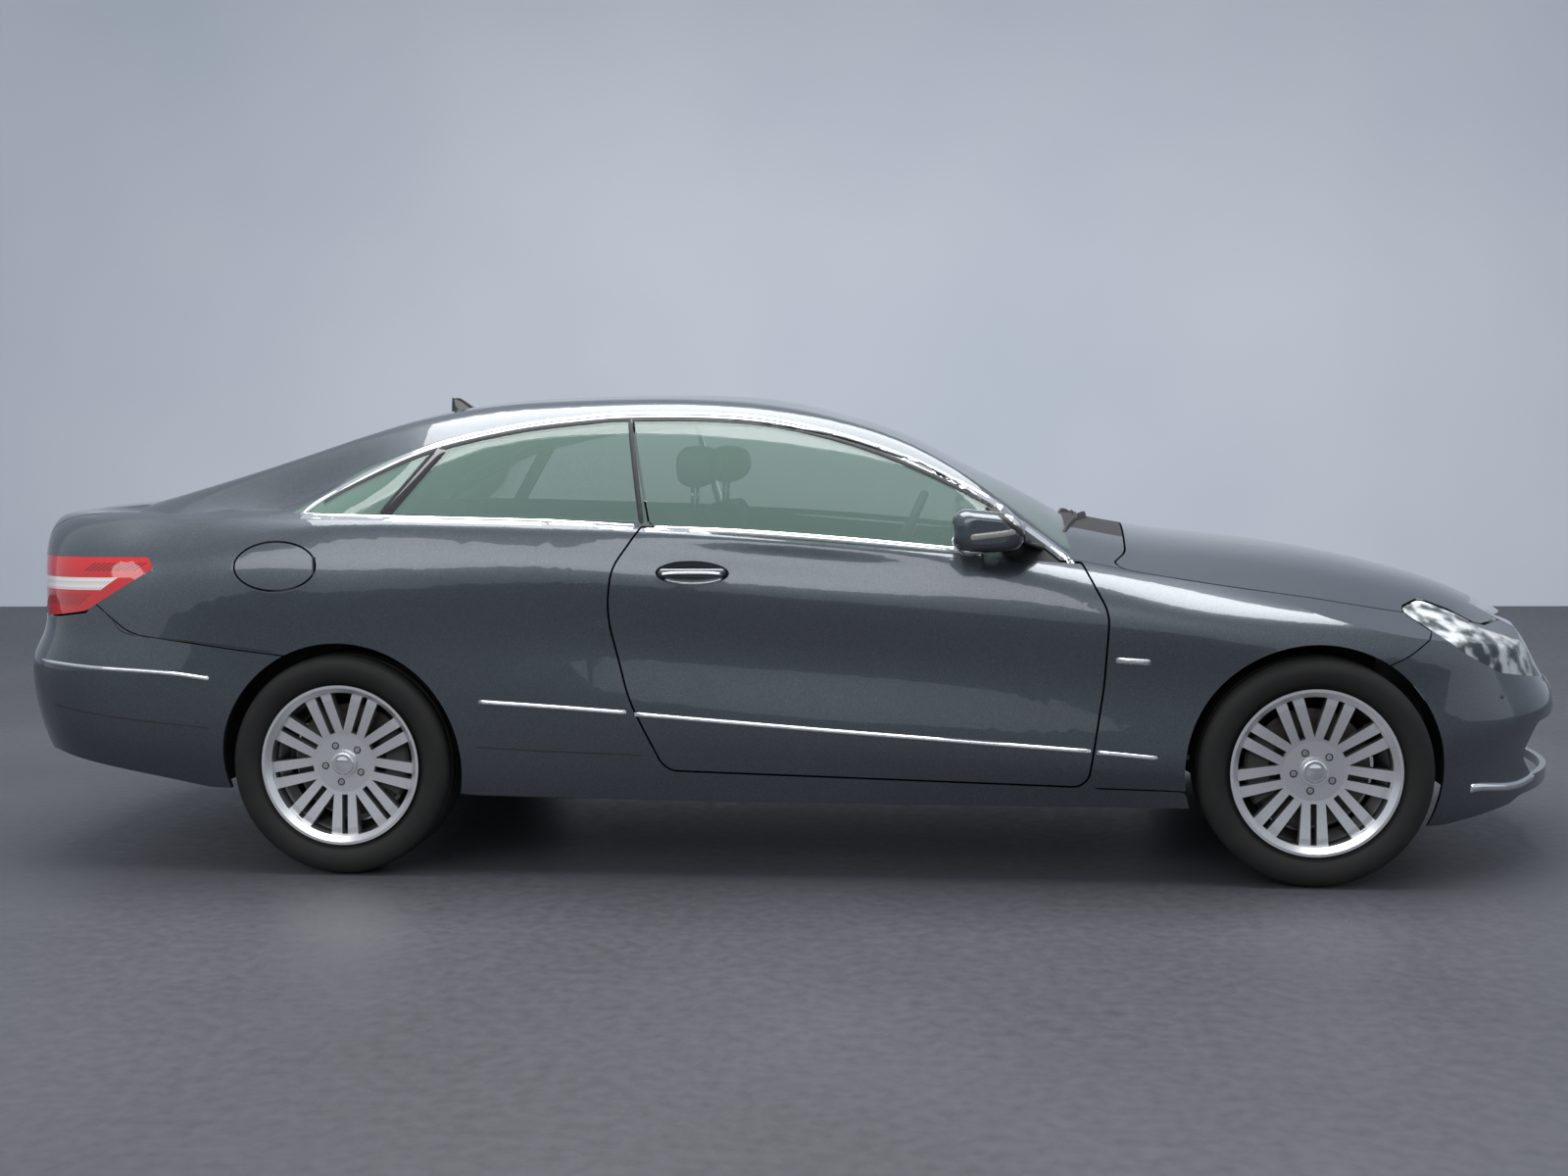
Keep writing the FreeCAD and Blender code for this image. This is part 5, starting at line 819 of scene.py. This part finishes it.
# %% Front seats
seat_centres = (-0.37, 0.37)
cushion_outline = [(0.43, 0.232), (0.5, 0.228), (0.574, 0.23), (0.59, 0.258), (0.589, 0.32), (0.574, 0.338),
                   (0.5, 0.329), (0.44, 0.322), (0.42, 0.28)]
back_outline = [(0.372, 0.25), (0.415, 0.262), (0.42, 0.33), (0.4, 0.458), (0.369, 0.716), (0.359, 0.752),
                (0.338, 0.755), (0.33, 0.72), (0.345, 0.501), (0.359, 0.301)]
rest_outline = [(0.356, 0.785), (0.376, 0.8), (0.385, 0.83), (0.381, 0.872), (0.365, 0.886), (0.345, 0.886),
                (0.333, 0.859), (0.336, 0.8)]
stuffed("front_cushion", "front_seats", cushion_outline, 0.47, seat_centres, (0, 0, 1), 0.024, 0.012,
        [(along, 0.3) for along in (0.455, 0.485, 0.515, 0.545)], (1, 0, 0))
stuffed("front_back", "front_seats", back_outline, 0.47, seat_centres, (1, 0, 0.05), 0.028, 0.012,
        [(0.4, up) for up in (0.42, 0.48, 0.54, 0.6)], (0, 0, 1))
stuffed("front_head_rest", "front_seats", rest_outline, 0.25, seat_centres, (1, 0, 0), 0, 0.008, [], (0, 0, 1))
for index, centre in enumerate(seat_centres):
    block(f"seat_base_{index}", (rear_axle_x + wheelbase * 0.415, centre - 0.19, 0.2195),
          (rear_axle_x + wheelbase * 0.556, centre + 0.19, 0.318), 0.012, black_plastic, "car_body")
    for number, off in enumerate((-0.055, 0.055)):
        turned(f"rest_post_{index}_{number}", [(0, 0), (0.006, 0), (0.006, 0.085), (0, 0.085)],
               (-0.283, centre + off, 1.035), (0.05, 0, 1), chrome, "car_body", steps=16)

# %% [markdown]
# The rear bench is made for two, with a cushion and a back for each and a raised roll between them.

# %% Rear bench
rear_centres = (-0.299, 0.299)
bench_outline = [(0.085, 0.268), (0.15, 0.266), (0.204, 0.268), (0.214, 0.288), (0.213, 0.34), (0.198, 0.352),
                 (0.13, 0.34), (0.075, 0.33)]
bench_back_outline = [(-0.012, 0.36), (0.045, 0.355), (0.04, 0.4), (0.012, 0.573), (0.0, 0.635),
                      (-0.012, 0.644), (-0.024, 0.625), (-0.022, 0.45)]
stuffed("rear_cushion", "rear_seat", bench_outline, 0.585, rear_centres, (0, 0, 1), 0.014, 0.01,
        [(along, 0.3) for along in (0.1, 0.135, 0.17)], (1, 0, 0))
stuffed("rear_back", "rear_seat", bench_back_outline, 0.585, rear_centres, (1, 0, 0.1), 0.014, 0.01,
        [(0.01, up) for up in (0.43, 0.49, 0.55)], (0, 0, 1))

# %% [markdown]
# ## Lamp units
# Behind the clear lens stand two round units on each side, each a glass dome in a bright ring.

# %% Head lamp units
ring_profile = [(0.031, 0.0), (0.034, 0.004), (0.037, 0.0), (0.037, -0.02), (0.031, -0.02)]
dome_profile = [(0, 0.008), (0.012, 0.0065), (0.022, 0.002), (0.0305, -0.006), (0.0305, -0.018), (0, -0.018)]
for side in sides:
    sign = sign_of[side]
    for index, (x, y, z) in enumerate(((1.965, 0.645, 0.642), (2.078, 0.525, 0.617))):
        for part, profile, finish in (("ring", ring_profile, chrome), ("dome", dome_profile, smoked_lens)):
            turned(f"lamp_{part}_{index}_{side}", profile, (x, sign * y, z), (0.94, sign * 0.34, 0), finish,
                   "car_body", steps=40, ring=part == "ring")
print("set the head lamp units")

# %% [markdown]
# ## Mirrors
# The mirror's rear face carries the glass, and its outer face a long indicator lens. Both are laid on the
# housing like the trim, and both ride on the door.

# %% Mirror glass and indicator
handle_points = ((-0.305, 0.876), (-0.26, 0.88), (-0.17, 0.88), (-0.125, 0.876))
for side in sides:
    sign = sign_of[side]
    housing = tree_of("mirror_" + side)
    glass = [(0.3, sign * y, 0.993) for y in (0.835, 0.87, 0.91, 0.95, 0.985)]
    laid_strip("mirror_glass_" + side, smooth_path(glass, 0.012), 0.082, 0.001, chrome, "door_" + side, housing,
               0.1, (1, 0, 0), (0, 0, 1), columns=8)
    lens = [(x, sign * 1.2, z) for x, z in ((0.56, 0.981), (0.6, 0.985), (0.65, 0.991), (0.69, 0.998))]
    laid_strip("mirror_indicator_" + side, smooth_path(lens, 0.01), 0.017, 0.002, smoked_lens, "door_" + side,
               housing, 0.05, (0, -sign, 0), (0, 0, 1))
    door_tree = tree_of("door_" + side)
    bar = [(x, sign * 1.2, z) for x, z in handle_points]
    laid_strip("handle_strip_" + side, smooth_path(bar, 0.01), 0.007, 0.0012, chrome, "door_" + side, door_tree,
               0.05, (0, -sign, 0), (0, 0, 1), columns=4)
print("set the mirror glasses and handle strips")

# %% [markdown]
# ## Wipers, plates and small lamps
# The wipers are parked low on the screen: a flat arm and a rubber blade each. The plates are blank. The
# rear bumper carries two reflectors, and the third brake lamp is a strip along the rear window's top.

# %% Wipers
screen_tree = tree_of("windscreen", "cowl")
for index, (inner, outer) in enumerate((((0.915, 0.52), (0.85, -0.02)), ((0.9, -0.02), (0.84, -0.5)))):
    start, end = Vector((*inner, 2)), Vector((*outer, 2))
    blade = smooth_path([start, start.lerp(end, 0.5) + Vector((0.012, 0, 0)), end], 0.02)
    laid_strip(f"wiper_blade_{index}", blade, 0.012, 0.012, seal_rubber, "car_body", screen_tree, 0.3,
               (0, 0, -1), None, columns=4)
    arm = smooth_path([start + Vector((0.03, -0.02, 0)), start.lerp(end, 0.5) + Vector((0.014, 0, 0))], 0.02)
    laid_strip(f"wiper_arm_{index}", arm, 0.018, 0.019, black_plastic, "car_body", screen_tree, 0.3, (0, 0, -1),
               None, columns=4)
print("parked the wipers")

# %% Plates and reflectors
def plate(name, middle, direction, tree, body):
    """A blank plate in a dark frame, laid across a panel."""
    for part, wide, tall, rise, finish in (("frame", 0.53, 0.106, 0.003, black_plastic),
                                           ("face", 0.51, 0.09, 0.0045, plate_white)):
        line = [Vector(middle) + Vector((0, wide * share, 0)) for share in (-0.5, -0.25, 0, 0.25, 0.5)]
        laid_strip(f"{name}_{part}", smooth_path(line, 0.02), tall, rise, finish, body, tree, 0.5, direction,
                   (0, 0, 1), columns=6)


plate("front_plate", (2.6, 0, 0.488), (-1, 0, 0), bumper_trees["front"], "car_body")
plate("rear_plate", (-2.6, 0, 0.655), (1, 0, 0), bumper_trees["rear"], "car_body")
for side in sides:
    sign = sign_of[side]
    line = [(-2.6, sign * y, 0.41) for y in (0.46, 0.53, 0.6, 0.67)]
    laid_strip("rear_reflector_" + side, smooth_path(line, 0.015), 0.03, 0.004, plain_red, "car_body",
               bumper_trees["rear"], 0.5, (1, 0, 0), (0, 0, 1))
line = [(x, y, 1.6) for x, y in ((-1.3, -0.2), (-1.312, 0), (-1.3, 0.2))]
laid_strip("third_brake_lamp", smooth_path(line, 0.02), 0.022, 0.003, plain_red, "car_body",
           tree_of("rear_window"), 0.6, (0, 0, -1), (1, 0, 0))
print("set the plates and reflectors")

# %% [markdown]
# ## Intake mesh, exhaust tip and brake calipers
# A black mesh stands behind the lower intake, and a flat dark sheet just behind it hides the bay as painted
# shade. The tail pipe ends in a polished sleeve, and a dark caliper clasps each brake disc.

# %% Intake mesh
mesh = bmesh.new()
mesh_x, bow, mesh_width, mesh_foot, mesh_height = 2.02, 0.14, 1.16, 0.262, 0.178
bar_width, largest_bar = 0.0035, 0.00018
columns, rows = 44, 8
grid = [[mesh.verts.new((mesh_x + bow * (1 - (2 * column / columns - 1)**2),
                         mesh_width * (column / columns - 0.5), mesh_foot + mesh_height * row / rows))
         for column in range(columns + 1)] for row in range(rows + 1)]
for low, high in zip(grid, grid[1:]):
    for column in range(columns):
        mesh.faces.new((low[column], low[column + 1], high[column + 1], high[column]))
mesh.faces.ensure_lookup_table()
bmesh.ops.inset_individual(mesh, faces=mesh.faces[:], thickness=bar_width, depth=0)
openings = [face for face in mesh.faces if face.calc_area() > largest_bar]
bmesh.ops.delete(mesh, geom=openings, context="FACES_ONLY")
bmesh.ops.solidify(mesh, geom=mesh.faces[:], thickness=0.004)
keep(mesh, "intake_mesh", black_plastic, "car_body", smooth=False)
# A flat dark sheet behind the mesh hides the radiator: painted shade in the intake.
block("intake_shade_sheet", (1.98, -0.56, 0.255), (1.99, 0.56, 0.45), 0.002, under_coat, "car_body")
print("set the intake mesh")

# %% Exhaust tip
exhaust = nodes["exhaust"].data
tail_x = min(vert.co.x for vert in exhaust.vertices)
tail_ring = [vert.co for vert in exhaust.vertices if vert.co.x < tail_x + 0.001]
middle = sum(tail_ring, Vector()) / len(tail_ring)
radius = max((place - middle).length for place in tail_ring)
sleeve = [(0.0005, 0.0), (0.003, 0.003), (0.0065, 0.0), (0.0065, -0.09), (0.001, -0.09)]
turned("exhaust_tip_right", [(radius + gap, height) for gap, height in sleeve], middle + Vector((-0.012, 0, 0)),
       (-1, 0, 0), chrome, "car_body", steps=40, ring=True)
print("tail pipe at", [round(part, 3) for part in middle], "radius", round(radius, 4))

# %% Calipers
caliper_steps, caliper_reach = 10, 32
for end in ends:
    for side in sides:
        low, high = (Vector(corner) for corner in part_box(f"brake_disc_{end}_{side}"))
        middle, body = (low + high) / 2, "knuckle_" + side if end == "front" else "car_body"
        rim = (high.x - low.x) / 2
        sign = sign_of[side]
        mesh = bmesh.new()
        half = 0.03 if end == "front" else 0.024
        behind = -1 if end == "front" else 1
        face_y = low.y if side == "right" else high.y
        loops = []
        for step in range(caliper_steps + 1):
            angle = math.radians(caliper_reach * (2 * step / caliper_steps - 1))
            out = Vector((behind * math.cos(angle), 0, math.sin(angle)))
            ring = []
            for radius, off in ((rim - 0.045, 0.006), (rim + 0.012, 0.006), (rim + 0.02, -0.002),
                                (rim + 0.02, -half - 0.03), (rim + 0.008, -half - 0.038),
                                (rim + 0.004, -half - 0.02), (rim + 0.004, -0.002), (rim - 0.045, -0.002)):
                spot = middle + out * radius
                ring.append(mesh.verts.new((spot.x, face_y + sign * off, spot.z)))
            loops.append(ring)
        skin(mesh, loops)
        keep(mesh, f"caliper_{end}_{side}", under_coat, body, smooth=False)
print("set four calipers")

# %% [markdown]
# ## Aerial
# The aerial on the roof is a thin fin. Its rear edge is steep, its front edge sweeps back, and it narrows
# towards the tip. It takes the place of the plain fin of the construction model.

# %% Roof fin
mesh = bmesh.new()
levels, around = 10, 20
loops = []
for level in range(levels + 1):
    share = level / levels
    tail, nose = -1.15 + 0.004 * share, -1.047 - 0.076 * share**0.8
    half = 0.013 * (1 - share)**0.6 + 0.0016
    height = 1.338 + 0.0695 * share - 0.006 * share**6
    ring = []
    for index in range(around):
        angle = 2 * math.pi * index / around
        along = 0.5 + 0.5 * math.cos(angle)
        ring.append(mesh.verts.new((tail + (nose - tail) * along, half * math.sin(angle) * (1 - 0.5 * along),
                                    height + 0.02 * along * (1 - share))))
    loops.append(ring)
skin(mesh, loops)
fin = keep(mesh, "roof_fin", gloss_black, "car_body")
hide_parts("roof_aerial")
print("set the roof fin")

# %% [markdown]
# ## Floor, backdrop and light
# The car stands on a dark stone floor in front of a pale wall that meets the floor some eight metres
# behind it. The floor darkens the lower half of the doors, as the photograph shows, and the pale room
# brightens the shoulders. Large soft lamps light the car at a plain level.


# %% Stage
def flat_piece(name, corners, finish):
    """A flat four-sided sheet that isn't part of the car."""
    mesh = bmesh.new()
    mesh.faces.new([mesh.verts.new(corner) for corner in corners])
    data = bpy.data.meshes.new(name)
    mesh.to_mesh(data)
    mesh.free()
    sheet = bpy.data.objects.new(name, data)
    scene.collection.objects.link(sheet)
    data.materials.append(finish.material)


stone = Finish("dark_stone")
clouds = stone.noise(0.9, 6)
scratches = stone.noise(26, 8)
stone.feed("Base Color", stone.blend(clouds * 0.6 + scratches * 0.4, (0.022, 0.022, 0.026), (0.1, 0.1, 0.115)))
stone.feed("Roughness", scratches * 0.3 + 0.35)
wall = Finish("pale_wall", roughness=0.7).mottle(0.25, 3, (0.5, 0.56, 0.66), (0.86, 0.89, 0.92))
far, wall_y, wall_top = 40, 7.9, 16
flat_piece("floor", [(-far, -far, 0), (far, -far, 0), (far, far, 0), (-far, far, 0)], stone)
flat_piece("wall", [(-far, wall_y, 0), (far, wall_y, 0), (far, wall_y, wall_top), (-far, wall_y, wall_top)],
           wall)
print("set the floor and the wall")

world = scene.world or bpy.data.worlds.new("room")
scene.world = world
world.use_nodes = True
background = world.node_tree.nodes["Background"]
background.inputs["Color"].default_value = (0.72, 0.77, 0.84, 1)
background.inputs["Strength"].default_value = 0.85


def soft_lamp(name, place, target, width, depth, power):
    """A large rectangular lamp that faces a point."""
    lamp = bpy.data.objects.new(name, bpy.data.lights.new(name, "AREA"))
    lamp.data.shape = "RECTANGLE"
    lamp.data.size, lamp.data.size_y, lamp.data.energy = width, depth, power
    lamp.location = place
    lamp.rotation_euler = (Vector(target) - Vector(place)).to_track_quat("-Z", "Y").to_euler()
    scene.collection.objects.link(lamp)


soft_lamp("roof_lamp", (0, 0, 5.5), (0, 0, 0), 7, 4, 560)
soft_lamp("side_lamp", (-2, -8, 4.5), (0, 0, 0.6), 8, 3, 200)
scene.view_settings.view_transform = "Standard"
print("lit the stage")
